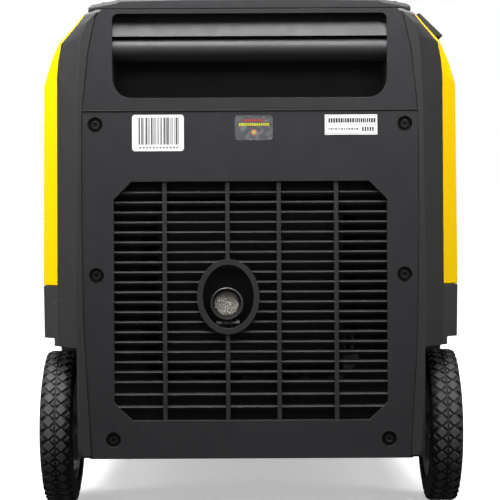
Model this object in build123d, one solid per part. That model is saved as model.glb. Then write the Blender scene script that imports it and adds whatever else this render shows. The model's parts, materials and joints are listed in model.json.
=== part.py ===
from build123d import *
import math
import os

# A closed inverter generator on two wheels. +Z is up, the exhaust end faces -Y and the control end
# faces +Y. The origin is under the middle of the set, on the ground. All sizes are in millimetres.

# Overall sizes
LENGTH = 610.0
TRACK_WIDTH = 433.0
SHELL_TOP = 515.0
SHELL_BASE = 57.0
WALL = 3.0
SEAM = 0.5

REAR = -LENGTH / 2
FRONT = LENGTH / 2
SIDE_HALF = TRACK_WIDTH / 2 - 2.5
SHOULDER_HALF = SIDE_HALF - 16.5
END_HALF = SIDE_HALF - 39.0
WAIST = SHELL_BASE + 173.0
HOOP_DEPTH = 36.0
BULGE_RUN = 20.0
TOP_SPLIT = SIDE_HALF - 43.0
TOP_CURL = 24.0

# Wheels
WHEEL_RADIUS = 80.0
TYRE_WIDTH = 34.0
TYRE_DEPTH = 24.0
AXLE_RADIUS = 6.0
AXLE_Y = REAR + 100.0
WHEEL_FIT = 0.05
WHEEL_X = TRACK_WIDTH / 2 - TYRE_WIDTH / 2
HUB_RADIUS = 14.0
HUB_LENGTH = 24.0
RIM_WALL = 4.0
WEB_THICKNESS = 5.0
SPOKE_HOLES = 5
WELL_GAP = 8.0
WELL_WALL = WHEEL_X - TYRE_WIDTH / 2 - WELL_GAP
WELL_FRONT = AXLE_Y + WHEEL_RADIUS + 13.0
WELL_ROOF = 2 * WHEEL_RADIUS + WELL_GAP
ARCH_LIP = WELL_ROOF + 8.0
ARCH_STEP = WHEEL_X + 2.0

# Rear panel and louvres
PANEL_TOP = SHELL_TOP - 110.5
PANEL_FACE = REAR + 0.8
FLANGE = 3.0
FLANGE_BACK = REAR + WALL + FLANGE
GRILLE_HALF = END_HALF - 38.0
GRILLE_BASE = SHELL_BASE + 38.0
GRILLE_TOP = PANEL_TOP - 70.0
GRILLE_CHAMFER = 18.0
LOUVRES = 22
LOUVRE_PITCH = 10.0
LOUVRE_FACE = 3.0
LOUVRE_RISE = 2.2
LOUVRE_NOSE = 0.6
LOUVRE_FIRST = 12.0
LOUVRE_SPREAD = 1.25
GRILLE_RIM = 2.0
LOUVRE_RUN = 11.0
LOUVRE_SETBACK = 2.2
RIB_WIDTH = 4.2
RIB_PLACES = (-86.0, -23.0, 28.5, 86.0)
RIB_PROUD = 0.6
COLLAR_X = -22.5
COLLAR_Z = SHELL_BASE + 162.0
COLLAR_WIDTH = 62.5
COLLAR_HEIGHT = 75.2
COLLAR_WALL = 5.6
COLLAR_DEPTH = 16.0
POCKET_RADIUS = 7.6
POCKET_DEPTH = 5.0
SCREW_HEAD = 4.7
SCREW_HEAD_HEIGHT = 3.2
SCREW_SOCKET_DEPTH = 2.0
SCREW_SHANK = 2.5
SCREW_LENGTH = 20.0
SCREW_PLACES = ((END_HALF - 20.0, PANEL_TOP - 13.0), (END_HALF - 20.7, SHELL_BASE + 183.6),
                (END_HALF - 37.0, SHELL_BASE + 19.2))
BAFFLE_FACE = REAR + 27.0
BAFFLE_SHEET = 2.0
BAFFLE_WINDOW = 111.0
BAFFLE_WINDOW_BASE = GRILLE_BASE + 34.0
BAFFLE_WINDOW_TOP = GRILLE_TOP - 16.0
BAFFLE_CHAMFER = 24.0

# Hand recess and grip bar, the same at both ends
COVER_BASE = SHELL_TOP - 108.2
COVER_TOP = SHELL_TOP - 8.0
RECESS_HALF = END_HALF - 37.3
RECESS_BASE = COVER_BASE + 11.2
RECESS_TOP = COVER_TOP - 4.4
RECESS_DEPTH = 58.0
RECESS_CORNER = 20.0
SCOOP_CORNER = 6.0
SCOOP_EDGE = 4.0
SCOOP_RUN = 9.0
SCOOP_WALL = 2.0
GRIP_RADIUS = 12.0
GRIP_Z = COVER_BASE + 60.8
GRIP_SETBACK = 15.0

# Tow handle
HANDLE_X = END_HALF - 25.0
ARM_WIDTH = 12.0
ARM_HEIGHT = 10.0
PIVOT_Y = FRONT - 60.0
PIVOT_Z = SHELL_TOP + 8.5
GRIP_BAR_Y = REAR + 82.0
GRIP_BAR_WIDTH = 30.0
GRIP_BAR_HALF = HANDLE_X + ARM_WIDTH / 2 + 12.0
GRIP_BAR_TOP = SHELL_TOP + 15.0
GRIP_BAR_CENTRE = HANDLE_X - 14.0
PIN_RADIUS = 4.0
EAR_THICKNESS = 4.0
EAR_GAP = 0.4
BRACKET_HALF = 11.5

# Feet, axle and tray
TRAY_BASE = SHELL_BASE + 0.5
TRAY_SHEET = 2.5
TRAY_TOP = SHELL_BASE + 9.0
TRAY_HALF = WELL_WALL - WALL
TRAY_END_HALF = END_HALF - 25.0
FLOOR = TRAY_BASE + TRAY_SHEET
FOOT_RADIUS = 22.0
FOOT_SEAT = 14.0
BOLT_RADIUS = 4.0
BOLT_HEAD = 7.5
BOLT_FIT = 0.2
FOOT_X = 125.0
FOOT_Y = FRONT - 41.0
BRACKET_SHEET = 4.0

# Engine
CRANK_Y = -20.0
CRANK_Z = SHELL_BASE + 133.0
ENGINE_TILT = 25.0
CASE_RADIUS = 70.0
CASE_WALL = 8.0
CASE_LEFT = -60.0
CASE_RIGHT = 62.0
DECK_HALF = 50.0
DECK_HEIGHT = 76.0
BORE_RADIUS = 34.0
BARREL_HEIGHT = 72.0
HEAD_HEIGHT = 34.0
ROCKER_HEIGHT = 20.0
FIN_PITCH = 9.0
FIN_THICKNESS = 3.0
SHAFT_RADIUS = 14.0
SHAFT_FIT = 0.05
WEB_RADIUS = 44.0
ROTOR_RADIUS = 82.0
ROTOR_GAP = 1.0
STATOR_RADIUS = 60.0
FAN_BLADES = 12
SHROUD_RADIUS = 92.0
MOUNT_RADIUS = 16.0
MUFFLER_HALF = 95.0
MUFFLER_WALL = 2.0
MUFFLER_BASE = CRANK_Z - 55.0
MUFFLER_TOP = CRANK_Z + 130.0
MUFFLER_REAR = BAFFLE_FACE + 16.0
MUFFLER_FRONT = MUFFLER_REAR + 88.0
TIP_X = -24.0
TIP_Z = COLLAR_Z - 7.0
TIP_RADIUS = 16.0
TIP_WALL = 1.2
TIP_END = REAR + 6.0
PORT_RADIUS = 15.0

# Fuel
TANK_HALF = 138.0
TANK_BASE = SHELL_TOP - 125.0
TANK_FRONT = FRONT - RECESS_DEPTH - 16.0
TANK_REAR = 44.0
TANK_WALL = 2.5
NECK_X = 55.0
NECK_Y = 120.0
NECK_RADIUS = 25.0
NECK_WALL = 3.0
NECK_RISE = 5.0
CAP_RADIUS = 34.0
CAP_TOP = SHELL_TOP + 12.0

# Control end
FASCIA_FACE = FRONT - 16.0
FASCIA_SHEET = 3.0
FASCIA_INSET = 0.94
SOCKET_SIZE = 58.0
SOCKET_RADIUS = 21.0
SOCKET_DEPTH = 9.0
SOCKET_ROW = SHELL_BASE + 150.0
SOCKET_PLACES = (-108.0, -38.0)
LID_THICKNESS = 3.0
CONTROL_ROW = PANEL_TOP - 62.0
KNOB_RADIUS = 26.0
KNOB_DEPTH = 11.0
KNOB_X = 95.0
BUTTON_RADIUS = 9.0
BUTTON_X = 42.0
ROCKER_X = 4.0
DISPLAY_X = -82.0
DC_X = 36.0
BREAKER_RADIUS = 5.5
BREAKER_X = 98.0
GROUND_PLACE = (112.0, SHELL_BASE + 60.0)
LIGHT_PLACES = (-8.0, 10.0, 28.0)

# Electrics on the tray
MODULE_REAR = FRONT - 150.0
INVERTER_LEFT = -12.0
INVERTER_WIDTH = 150.0
INVERTER_LENGTH = 100.0
INVERTER_CORE = 70.0
INVERTER_FIN = 30.0
INVERTER_FIN_PITCH = 10.0
BATTERY_LEFT = -150.0
BATTERY_WIDTH = 110.0
BATTERY_LENGTH = 90.0
BATTERY_HEIGHT = 92.0

# Recoil starter and service door
RECOIL_Y = CRANK_Y
RECOIL_Z = WAIST + 66.0
RECOIL_POCKET = (112.0, 30.0, 48.0)
RECOIL_GRIP = (84.0, 14.0, 18.0)
STEM_RADIUS = 5.0
DOOR_REAR = REAR + 70.0
DOOR_FRONT = 20.0
DOOR_BASE = WAIST + 26.0
DOOR_TOP = SHELL_TOP - 10.0
DOOR_GAP = 1.2
LIP_LENGTH = 80.0
LIP_REAR = DOOR_REAR + 12.0
LIP_DROP = 15.7
SLOT_WIDTH = 6.0
SLOT_MIDDLE = FRONT - 160.0
SLOTS = 8
SLOT_PITCH = 16.0


def block(x0, x1, y0, y1, z0, z1):
    """A box between two corners."""
    return Pos((x0 + x1) / 2, (y0 + y1) / 2, (z0 + z1) / 2) * Box(x1 - x0, y1 - y0, z1 - z0)


def rod_x(radius, x0, x1, y, z):
    """A cylinder along X."""
    return Pos((x0 + x1) / 2, y, z) * Rot(0, 90, 0) * Cylinder(radius, x1 - x0)


def rod_y(radius, y0, y1, x, z):
    """A cylinder along Y."""
    return Pos(x, (y0 + y1) / 2, z) * Rot(90, 0, 0) * Cylinder(radius, y1 - y0)


def rod_z(radius, z0, z1, x, y):
    """A cylinder along Z."""
    return Pos(x, y, (z0 + z1) / 2) * Cylinder(radius, z1 - z0)


def prism_y(points, y0, y1):
    """An outline of (x, z) points, extruded from y0 to y1."""
    return extrude(Plane.XZ.offset(-y0) * Polygon(*points, align=None), y1 - y0, dir=(0, 1, 0))


def prism_x(points, x0, x1):
    """An outline of (y, z) points, extruded from x0 to x1."""
    return extrude(Plane.YZ.offset(x0) * Polygon(*points, align=None), x1 - x0, dir=(1, 0, 0))


def both_sides(points):
    """A right-hand half outline, closed by its mirror image."""
    return [*points, *[(-x, z) for x, z in reversed(points)]]


def mirrored(shape):
    """The shape and its mirror image across the middle plane."""
    return Compound(children=[shape, mirror(shape, about=Plane.YZ)])


def other_end(shape):
    """The same shape at the opposite end of the set."""
    return mirror(shape, about=Plane.XZ)


def octagon(half, base, top, chamfer):
    """A rectangle of (x, z) points with cut corners."""
    right = [(half - chamfer, base), (half, base + chamfer), (half, top - chamfer), (half - chamfer, top)]
    return both_sides(right)


# Shell sections

def end_section(inset=0.0, drop=0.0):
    """Half outline of the shell at an end face."""
    half = END_HALF - inset
    top = SHELL_TOP - drop
    return [(half - 7.4, SHELL_BASE), (half - 4.7, SHELL_BASE + 9.0), (half - 1.0, WAIST - 64.0),
            (half, WAIST), (half - 2.0, top - 100.0), (half - 4.0, top - 55.0), (half - 6.0, top - 35.0),
            (half - 13.0, top - 20.0), (half - 22.0, top - 11.0), (half - 34.0, top - 8.0)]


def shoulder_section(inset=0.0, drop=0.0):
    """Half outline where a hoop meets the side panels."""
    half = SHOULDER_HALF - inset
    top = SHELL_TOP - drop
    return [(half - 17.0, SHELL_BASE), (half - 10.0, SHELL_BASE + 18.0), (half - 1.5, WAIST - 64.0),
            (half, WAIST), (half - 0.5, top - 72.0), (half - 2.0, top - 55.0), (half - 5.0, top - 38.0),
            (half - 18.5, top - 22.0), (half - 28.5, top - 9.5), (half - 41.0, top - 4.5)]


def side_section(inset=0.0, drop=0.0):
    """Half outline over the bulge of the side panels."""
    half = SIDE_HALF - inset
    top = SHELL_TOP - drop
    return [(half - 21.0, SHELL_BASE), (half - 13.0, SHELL_BASE + 18.0), (half - 1.0, WAIST - 64.0),
            (half, WAIST), (half - 1.5, top - 79.0), (half - 8.5, top - 55.0), (half - 17.0, top - 35.0),
            (half - 32.0, top - 18.5), (half - 43.0, top - 5.0), (half - 56.0, top)]


def section_face(half_outline, y):
    """A closed shell section at one station."""
    return Plane.XZ.offset(-y) * Polygon(*both_sides(half_outline), align=None)


def shell_solid(inset=0.0, end=0.0):
    """The whole outer form, or its inner form when it is inset."""
    stations = [(REAR + end, end_section), (REAR + HOOP_DEPTH, shoulder_section),
                (REAR + HOOP_DEPTH + BULGE_RUN, side_section), (FRONT - HOOP_DEPTH - BULGE_RUN, side_section),
                (FRONT - HOOP_DEPTH, shoulder_section), (FRONT - end, end_section)]
    faces = [section_face(section(inset, inset), y) for y, section in stations]
    return loft(faces, ruled=True)


OUTER = shell_solid()
INNER = shell_solid(WALL, WALL)
SKIN = OUTER - INNER - block(-END_HALF + WALL, END_HALF - WALL, REAR, FRONT,
                                               SHELL_BASE - WALL, SHELL_BASE + WALL)


def panel_outline(gap=0.0):
    """Half outline of the large flat panel below the hand recess."""
    half = END_HALF - 6.5 + gap
    return [(half - 8.9, SHELL_BASE), (half - 4.5, SHELL_BASE + 74.0), (half - 1.5, SHELL_BASE + 129.0),
            (half, SHELL_BASE + 230.0), (half - 0.4, PANEL_TOP + gap)]


def cover_outline(gap=0.0):
    """Half outline of the hand recess cover."""
    half = END_HALF - 7.0 + gap
    return [(half, COVER_BASE - gap), (half - 3.5, COVER_BASE + 31.0), (half - 6.5, COVER_BASE + 59.0),
            (half - 11.0, COVER_BASE + 80.0), (half - 14.0, COVER_BASE + 94.0),
            (half - 20.0, COVER_TOP + gap)]


def wheel_wells():
    """The open space around both wheels."""
    low = block(WELL_WALL, TRACK_WIDTH, REAR - 1, WELL_FRONT, 0, WELL_ROOF)
    arch = block(ARCH_STEP, TRACK_WIDTH, REAR + HOOP_DEPTH, WELL_FRONT, 0, ARCH_LIP)
    return mirrored(low + arch)


WELLS = wheel_wells()


def end_opening(gap):
    """The opening in a hoop that takes the panel and the cover."""
    y0 = REAR - 1
    return prism_y(both_sides(panel_outline(gap)), y0, FLANGE_BACK) + prism_y(
        both_sides(cover_outline(gap)), y0, FLANGE_BACK) + block(
        -END_HALF, END_HALF, y0, FLANGE_BACK, SHELL_BASE - 1, SHELL_BASE + 0.01)


def rear_hoop():
    """Deep frame around the exhaust end."""
    ring = SKIN & block(-TRACK_WIDTH, TRACK_WIDTH, REAR, REAR + HOOP_DEPTH, 0, 2 * SHELL_TOP)
    return ring - end_opening(SEAM) - WELLS


def front_hoop():
    """Deep frame around the control end, without wheel wells."""
    ring = SKIN & block(-TRACK_WIDTH, TRACK_WIDTH, REAR, REAR + HOOP_DEPTH, 0, 2 * SHELL_TOP)
    return other_end(ring - end_opening(SEAM))


def side_band(x0, x1, z0, z1):
    """The part of the skin between the hoops, inside a box."""
    span = block(x0, x1, REAR + HOOP_DEPTH + SEAM, FRONT - HOOP_DEPTH - SEAM, z0, z1)
    return SKIN & span


def door_window(gap):
    """The block that cuts the service door out of the side panel."""
    return block(0, TRACK_WIDTH, DOOR_REAR - gap, DOOR_FRONT + gap, DOOR_BASE - gap, DOOR_TOP + gap)


def vent_slots(side, base, height):
    """A row of upright cooling slots in one side of the skin."""
    middles = [SLOT_MIDDLE + (i - (SLOTS - 1) / 2) * SLOT_PITCH for i in range(SLOTS)]
    slots = [block(SHOULDER_HALF - 20, TRACK_WIDTH, y - SLOT_WIDTH / 2, y + SLOT_WIDTH / 2,
                   base, base + height) for y in middles]
    row = Compound(children=slots)
    return row if side > 0 else mirror(row, about=Plane.YZ)


def right_side_panel():
    """Bulged side panel with the service opening."""
    panel = side_band(TOP_SPLIT + SEAM / 2, TRACK_WIDTH, WAIST + SEAM / 2, 2 * SHELL_TOP)
    return panel - door_window(DOOR_GAP) - vent_slots(1, WAIST + 50, 110)


def recoil_pocket_outer():
    """Outside of the pocket that holds the starter grip."""
    length, depth, height = RECOIL_POCKET
    return block(-SIDE_HALF + 1.0, -SIDE_HALF + depth, RECOIL_Y - length / 2, RECOIL_Y + length / 2,
                 RECOIL_Z - height / 2, RECOIL_Z + height / 2)


def left_side_panel():
    """Bulged side panel with the starter grip pocket."""
    length, depth, height = RECOIL_POCKET
    panel = side_band(-TRACK_WIDTH, -TOP_SPLIT - SEAM / 2, WAIST + SEAM / 2, 2 * SHELL_TOP)
    mouth = block(-SIDE_HALF - 5, -SIDE_HALF + depth - WALL, RECOIL_Y - length / 2 + WALL,
                  RECOIL_Y + length / 2 - WALL, RECOIL_Z - height / 2 + WALL, RECOIL_Z + height / 2 - WALL)
    stem_hole = rod_x(STEM_RADIUS + 1, -SIDE_HALF, 0, RECOIL_Y, RECOIL_Z)
    return panel + recoil_pocket_outer() - mouth - stem_hole - vent_slots(-1, WAIST + 50, 110)


def sill(side):
    """Dark lower side cover with its wheel well liner and bottom flange."""
    skin = side_band(0, TRACK_WIDTH, 0, WAIST - SEAM / 2) - WELLS
    y0 = REAR + HOOP_DEPTH + SEAM
    y1 = FRONT - HOOP_DEPTH - SEAM
    inner_wall = block(TRAY_HALF, WELL_WALL, y0, WELL_FRONT + WALL, SHELL_BASE, WELL_ROOF + WALL)
    roof = block(TRAY_HALF, ARCH_STEP, y0, WELL_FRONT + WALL, WELL_ROOF, WELL_ROOF + WALL)
    step = block(ARCH_STEP - WALL, ARCH_STEP, y0, WELL_FRONT + WALL, WELL_ROOF, ARCH_LIP + WALL)
    brow = block(ARCH_STEP - WALL, TRACK_WIDTH, y0, WELL_FRONT + WALL, ARCH_LIP, ARCH_LIP + WALL)
    front_wall = block(TRAY_HALF, TRACK_WIDTH, WELL_FRONT, WELL_FRONT + WALL, SHELL_BASE, ARCH_LIP + WALL)
    floor = block(TRAY_HALF, TRACK_WIDTH, WELL_FRONT, y1, SHELL_BASE, SHELL_BASE + WALL)
    liner = OUTER & (inner_wall + roof + step + brow + front_wall + floor)
    axle_hole = rod_x(AXLE_RADIUS + 1, 0, TRACK_WIDTH, AXLE_Y, WHEEL_RADIUS)
    cover = skin + liner - axle_hole - vent_slots(1, SHELL_BASE + 70, 70)
    return cover if side > 0 else mirror(cover, about=Plane.YZ)


def top_cover():
    """Top skin between the two side panels, open around the filler neck."""
    cover = side_band(-TOP_SPLIT + SEAM / 2, TOP_SPLIT - SEAM / 2, SHELL_TOP - TOP_CURL, 2 * SHELL_TOP)
    return cover - rod_z(NECK_RADIUS + SEAM, 0, 2 * SHELL_TOP, NECK_X, NECK_Y)


def service_door():
    """Hinged door cut from the side panel, with a finger lift near its top edge."""
    panel = side_band(TOP_SPLIT + SEAM / 2, TRACK_WIDTH, WAIST + SEAM / 2, 2 * SHELL_TOP)
    base = DOOR_TOP - LIP_DROP
    outline = [(SIDE_HALF - 35.3, DOOR_TOP + 8.6), (SIDE_HALF - 48.0, DOOR_TOP + 4.0),
               (SIDE_HALF - 34.0, base), (SIDE_HALF - 17.4, base), (SIDE_HALF - 11.0, base + 0.5)]
    lift = prism_y(outline, LIP_REAR, LIP_REAR + LIP_LENGTH)
    return (panel & door_window(0)) + (lift - OUTER)


# Rear end

def screw_pocket(x, z):
    """The cup that a panel screw sits in."""
    return rod_y(POCKET_RADIUS + 2, PANEL_FACE, PANEL_FACE + POCKET_DEPTH + 2, x, z)


def screw_holes(x, z):
    """The hollow of a cup and the hole through its floor."""
    return rod_y(POCKET_RADIUS, PANEL_FACE - 1, PANEL_FACE + POCKET_DEPTH, x, z) + rod_y(
        SCREW_SHANK + 0.3, PANEL_FACE - 1, FLANGE_BACK + 5, x, z)


def all_screw_places():
    """Screw centres on both sides."""
    return [(side * x, z) for x, z in SCREW_PLACES for side in (-1, 1)]


def louvre(z):
    """One slat: a nose with a short top that rises and a face that falls away under it."""
    y0 = PANEL_FACE + LOUVRE_SETBACK
    y1 = y0 + LOUVRE_RUN
    nose = z + LOUVRE_NOSE
    outline = [(y0, nose), (y0 + 5.0, nose - LOUVRE_FACE), (y1, nose - 1.0), (y1, nose + LOUVRE_RISE),
               (y0 + 3.0, nose + 1.6)]
    return prism_x(outline, -GRILLE_HALF, GRILLE_HALF)


def ellipse_y(width, height, y0, y1):
    """An elliptical rod along Y at the collar."""
    face = Plane.XZ.offset(-y0) * Pos(COLLAR_X, COLLAR_Z) * Ellipse(width / 2, height / 2)
    return extrude(face, y1 - y0, dir=(0, 1, 0))


def louvre_heights():
    """Centre height of each slat, from the top down; the lowest two stand wider apart."""
    top = GRILLE_TOP - LOUVRE_FIRST
    even = [top - i * LOUVRE_PITCH for i in range(LOUVRES - 2)]
    wide = LOUVRE_SPREAD * LOUVRE_PITCH
    return [*even, even[-1] - wide, even[-1] - 2 * wide]


def rear_panel():
    """Flat panel with the louvred grille, its border and the exhaust collar."""
    plate = prism_y(both_sides(panel_outline()), PANEL_FACE, REAR + WALL)
    flange = prism_y(both_sides(panel_outline(2.5)), REAR + WALL, FLANGE_BACK)
    flange &= INNER & block(-END_HALF, END_HALF, REAR, 0, SHELL_BASE, PANEL_TOP)
    window = prism_y(octagon(GRILLE_HALF, GRILLE_BASE, GRILLE_TOP, GRILLE_CHAMFER), REAR - 1, 0)
    body = plate + flange - window
    y1 = PANEL_FACE + LOUVRE_SETBACK + LOUVRE_RUN
    rim = prism_y(octagon(GRILLE_HALF + GRILLE_RIM, GRILLE_BASE - GRILLE_RIM, GRILLE_TOP + GRILLE_RIM,
                          GRILLE_CHAMFER), PANEL_FACE + 1, y1)
    slats = [louvre(z) for z in louvre_heights()]
    y0 = PANEL_FACE + LOUVRE_SETBACK - RIB_PROUD
    ribs = [block(x - RIB_WIDTH / 2, x + RIB_WIDTH / 2, y0, y1, GRILLE_BASE, GRILLE_TOP) for x in RIB_PLACES]
    lattice = Part() + slats + ribs
    lattice &= window
    lattice -= ellipse_y(COLLAR_WIDTH, COLLAR_HEIGHT, REAR, 0)
    collar = ellipse_y(COLLAR_WIDTH, COLLAR_HEIGHT, PANEL_FACE, PANEL_FACE + COLLAR_DEPTH)
    collar -= ellipse_y(COLLAR_WIDTH - 2 * COLLAR_WALL, COLLAR_HEIGHT - 2 * COLLAR_WALL, REAR - 1, 0)
    cups = [screw_pocket(x, z) for x, z in all_screw_places()]
    hollows = [screw_holes(x, z) for x, z in all_screw_places()]
    return body + (rim - window) + lattice + collar + cups - hollows


def screw(x, z, seat, shank=SCREW_SHANK, head=SCREW_HEAD, reach=SCREW_LENGTH):
    """A pan screw along Y with a hexagon socket, its head outwards at the rear."""
    face = seat - SCREW_HEAD_HEIGHT
    body = rod_y(head, face, seat, x, z) + rod_y(shank, seat, seat + reach, x, z)
    body = chamfer(body.faces().sort_by(Axis.Y)[0].edges(), 0.8)
    hexagon = Plane.XZ.offset(-face) * Pos(x, z) * RegularPolygon(head / 2, 6)
    return body - extrude(hexagon, SCREW_SOCKET_DEPTH, dir=(0, 1, 0))


def panel_screws():
    """The screws that hold the panels at both ends."""
    rear = [screw(x, z, PANEL_FACE + POCKET_DEPTH) for x, z in all_screw_places()]
    front = [other_end(screw(x * FASCIA_INSET, z, -FASCIA_FACE, reach=9)) for x, z in all_screw_places()]
    return Compound(children=[*rear, *front])


def baffle_plate():
    """Sheet behind the grille with an eight-sided window and tubular screw posts."""
    half = END_HALF - 10.0
    back = BAFFLE_FACE + BAFFLE_SHEET
    sheet = prism_y(octagon(half, SHELL_BASE + 6, PANEL_TOP - 2, 12.0), BAFFLE_FACE, back)
    sheet -= prism_y(octagon(BAFFLE_WINDOW, BAFFLE_WINDOW_BASE, BAFFLE_WINDOW_TOP, BAFFLE_CHAMFER), REAR, 0)
    seat = PANEL_FACE + POCKET_DEPTH + 2
    posts = [rod_y(SCREW_SHANK + 3, seat, back, x, z) for x, z in all_screw_places()]
    bores = [rod_y(SCREW_SHANK + 0.05, seat - 1, BAFFLE_FACE + 9, x, z) for x, z in all_screw_places()]
    return sheet + posts - bores


# Hand recess covers and grip bars

def recess_space():
    """The hollow of a hand recess: a cavity below and a scoop above, parted by a sloping sheet."""
    y0 = REAR - 1
    y1 = REAR + RECESS_DEPTH
    shelf = GRIP_Z + GRIP_RADIUS + SEAM
    edge = REAR + SCOOP_EDGE
    cavity = [(y0, RECESS_BASE), (y1, RECESS_BASE), (y1, RECESS_TOP - WALL),
              (edge + SCOOP_RUN + SCOOP_WALL, RECESS_TOP - WALL), (edge + SCOOP_WALL, shelf), (y0, shelf)]
    scoop = [(y0, shelf), (edge, shelf), (edge + SCOOP_RUN, RECESS_TOP), (y0, RECESS_TOP)]
    lower = prism_x(cavity, -RECESS_HALF, RECESS_HALF)
    lower = fillet(lower.edges().filter_by(Axis.Y).group_by(Axis.Z)[0], RECESS_CORNER)
    upper = prism_x(scoop, -RECESS_HALF, RECESS_HALF)
    upper = fillet(upper.edges().filter_by(Axis.Y).group_by(Axis.Z)[-1], SCOOP_CORNER)
    return lower + upper


def handle_cover():
    """Cover with the hand recess, for the exhaust end."""
    plate = prism_y(both_sides(cover_outline()), PANEL_FACE, REAR + WALL)
    flange = prism_y(both_sides(cover_outline(2.0)), REAR + WALL, FLANGE_BACK)
    flange &= INNER & block(-END_HALF, END_HALF, REAR, 0, COVER_BASE, COVER_TOP)
    tub = block(-RECESS_HALF - WALL, RECESS_HALF + WALL, REAR + WALL, REAR + RECESS_DEPTH + WALL,
                RECESS_BASE - WALL, RECESS_TOP + 1.2)
    ends = grip_bar_solid(RECESS_HALF + WALL)
    return plate + flange + tub - recess_space() - (ends & tub)


def grip_bar_solid(half):
    """A round bar across the recess."""
    return rod_x(GRIP_RADIUS, -half, half, REAR + GRIP_SETBACK, GRIP_Z)


def grip_bars():
    """Grip bars at both ends, their ends held in the cheeks of the recesses."""
    bar = grip_bar_solid(RECESS_HALF + WALL)
    return Compound(children=[bar, other_end(bar)])


# Top: tow handle

def tow_arms():
    """The two arms of the tow handle, with their pivot eyes."""
    x0 = HANDLE_X - ARM_WIDTH / 2
    x1 = HANDLE_X + ARM_WIDTH / 2
    bar_end = GRIP_BAR_Y + GRIP_BAR_WIDTH / 2
    arm = block(x0, x1, bar_end, PIVOT_Y, PIVOT_Z - ARM_HEIGHT / 2, PIVOT_Z + ARM_HEIGHT / 2)
    arm += rod_x(ARM_HEIGHT / 2 + 1, x0, x1, PIVOT_Y, PIVOT_Z)
    arm -= rod_x(PIN_RADIUS + WHEEL_FIT, 0, TRACK_WIDTH, PIVOT_Y, PIVOT_Z)
    return mirrored(arm)


def tow_grip():
    """Crowned cross bar of the tow handle, thicker in the middle."""
    y0 = GRIP_BAR_Y - GRIP_BAR_WIDTH / 2
    y1 = GRIP_BAR_Y + GRIP_BAR_WIDTH / 2
    base = SHELL_TOP + 2.0
    right = [(GRIP_BAR_HALF - 10, base), (GRIP_BAR_HALF, base - 3), (GRIP_BAR_HALF - 0.5, base + 2.5),
             (GRIP_BAR_HALF - 4.5, base + 5), (GRIP_BAR_CENTRE + 3, GRIP_BAR_TOP - 3.6),
             (GRIP_BAR_CENTRE, GRIP_BAR_TOP - 1.8), (GRIP_BAR_CENTRE / 2, GRIP_BAR_TOP - 0.4)]
    bar = prism_y(both_sides(right), y0, y1)
    long_edges = bar.edges().filter_by(GeomType.LINE).group_by(Axis.Y)
    upper = [e for e in [*long_edges[0], *long_edges[-1]] if e.center().Z > base + 5]
    return chamfer(upper, 3.0)


def handle_brackets():
    """Two ears on each side that carry the tow handle."""
    foot = block(HANDLE_X - BRACKET_HALF, HANDLE_X + BRACKET_HALF, PIVOT_Y - 12, PIVOT_Y + 12,
                 SHELL_TOP, SHELL_TOP + 1.6)
    ears = []
    for x in (HANDLE_X - ARM_WIDTH / 2 - EAR_GAP - EAR_THICKNESS, HANDLE_X + ARM_WIDTH / 2 + EAR_GAP):
        ears.append(block(x, x + EAR_THICKNESS, PIVOT_Y - 8, PIVOT_Y + 8, SHELL_TOP, PIVOT_Z))
        ears.append(rod_x(6.4, x, x + EAR_THICKNESS, PIVOT_Y, PIVOT_Z))
    bracket = foot + ears - rod_x(PIN_RADIUS + WHEEL_FIT, 0, TRACK_WIDTH, PIVOT_Y, PIVOT_Z)
    return mirrored(bracket)


def handle_pins():
    """Pivot pins of the tow handle."""
    reach = ARM_WIDTH / 2 + EAR_GAP + EAR_THICKNESS
    pin = rod_x(PIN_RADIUS, HANDLE_X - reach, HANDLE_X + reach, PIVOT_Y, PIVOT_Z)
    head = rod_x(PIN_RADIUS + 1.6, HANDLE_X + reach, HANDLE_X + reach + 2, PIVOT_Y, PIVOT_Z)
    return mirrored(pin + head)


# Wheels, axle, tray and feet

def tyre(side):
    """Tyre with rounded shoulders and a line around its middle."""
    half = TYRE_WIDTH / 2
    bead = WHEEL_RADIUS - TYRE_DEPTH
    groove = 1.2
    outline = [(-half + 3, bead), (-half, bead + 5), (-half, WHEEL_RADIUS - 12),
               (-half + 2.5, WHEEL_RADIUS - 5),
               (-half + 8, WHEEL_RADIUS - 1), (-groove, WHEEL_RADIUS), (0, WHEEL_RADIUS - groove),
               (groove, WHEEL_RADIUS), (half - 8, WHEEL_RADIUS - 1), (half - 2.5, WHEEL_RADIUS - 5),
               (half, WHEEL_RADIUS - 12), (half, bead + 5), (half - 3, bead)]
    section = Plane.XY * Polygon(*outline, align=None)
    ring = revolve(section, Axis.X)
    return Pos(side * WHEEL_X, AXLE_Y, WHEEL_RADIUS) * ring


def rim(side):
    """Rim with a pierced web and a hub."""
    bead = WHEEL_RADIUS - TYRE_DEPTH
    half = TYRE_WIDTH / 2 - 3
    barrel = rod_x(bead, -half, half, 0, 0) - rod_x(bead - RIM_WALL, -half - 1, half + 1, 0, 0)
    web = rod_x(bead - RIM_WALL / 2, -WEB_THICKNESS / 2, WEB_THICKNESS / 2, 0, 0)
    hub = rod_x(HUB_RADIUS, -HUB_LENGTH / 2, HUB_LENGTH / 2, 0, 0)
    middle = (HUB_RADIUS + bead - RIM_WALL) / 2
    hole = 0.3 * (bead - RIM_WALL - HUB_RADIUS)
    holes = [Rot(360 * i / SPOKE_HOLES, 0, 0) * rod_x(hole, -10, 10, 0, middle) for i in range(SPOKE_HOLES)]
    wheel = barrel + web + hub - holes - rod_x(AXLE_RADIUS + WHEEL_FIT, -TYRE_WIDTH, TYRE_WIDTH, 0, 0)
    return Pos(side * WHEEL_X, AXLE_Y, WHEEL_RADIUS) * wheel


def axle():
    """Steel axle through both wheels."""
    half = WHEEL_X + HUB_LENGTH / 2 + 4.5
    return rod_x(AXLE_RADIUS, -half, half, AXLE_Y, WHEEL_RADIUS)


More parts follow.
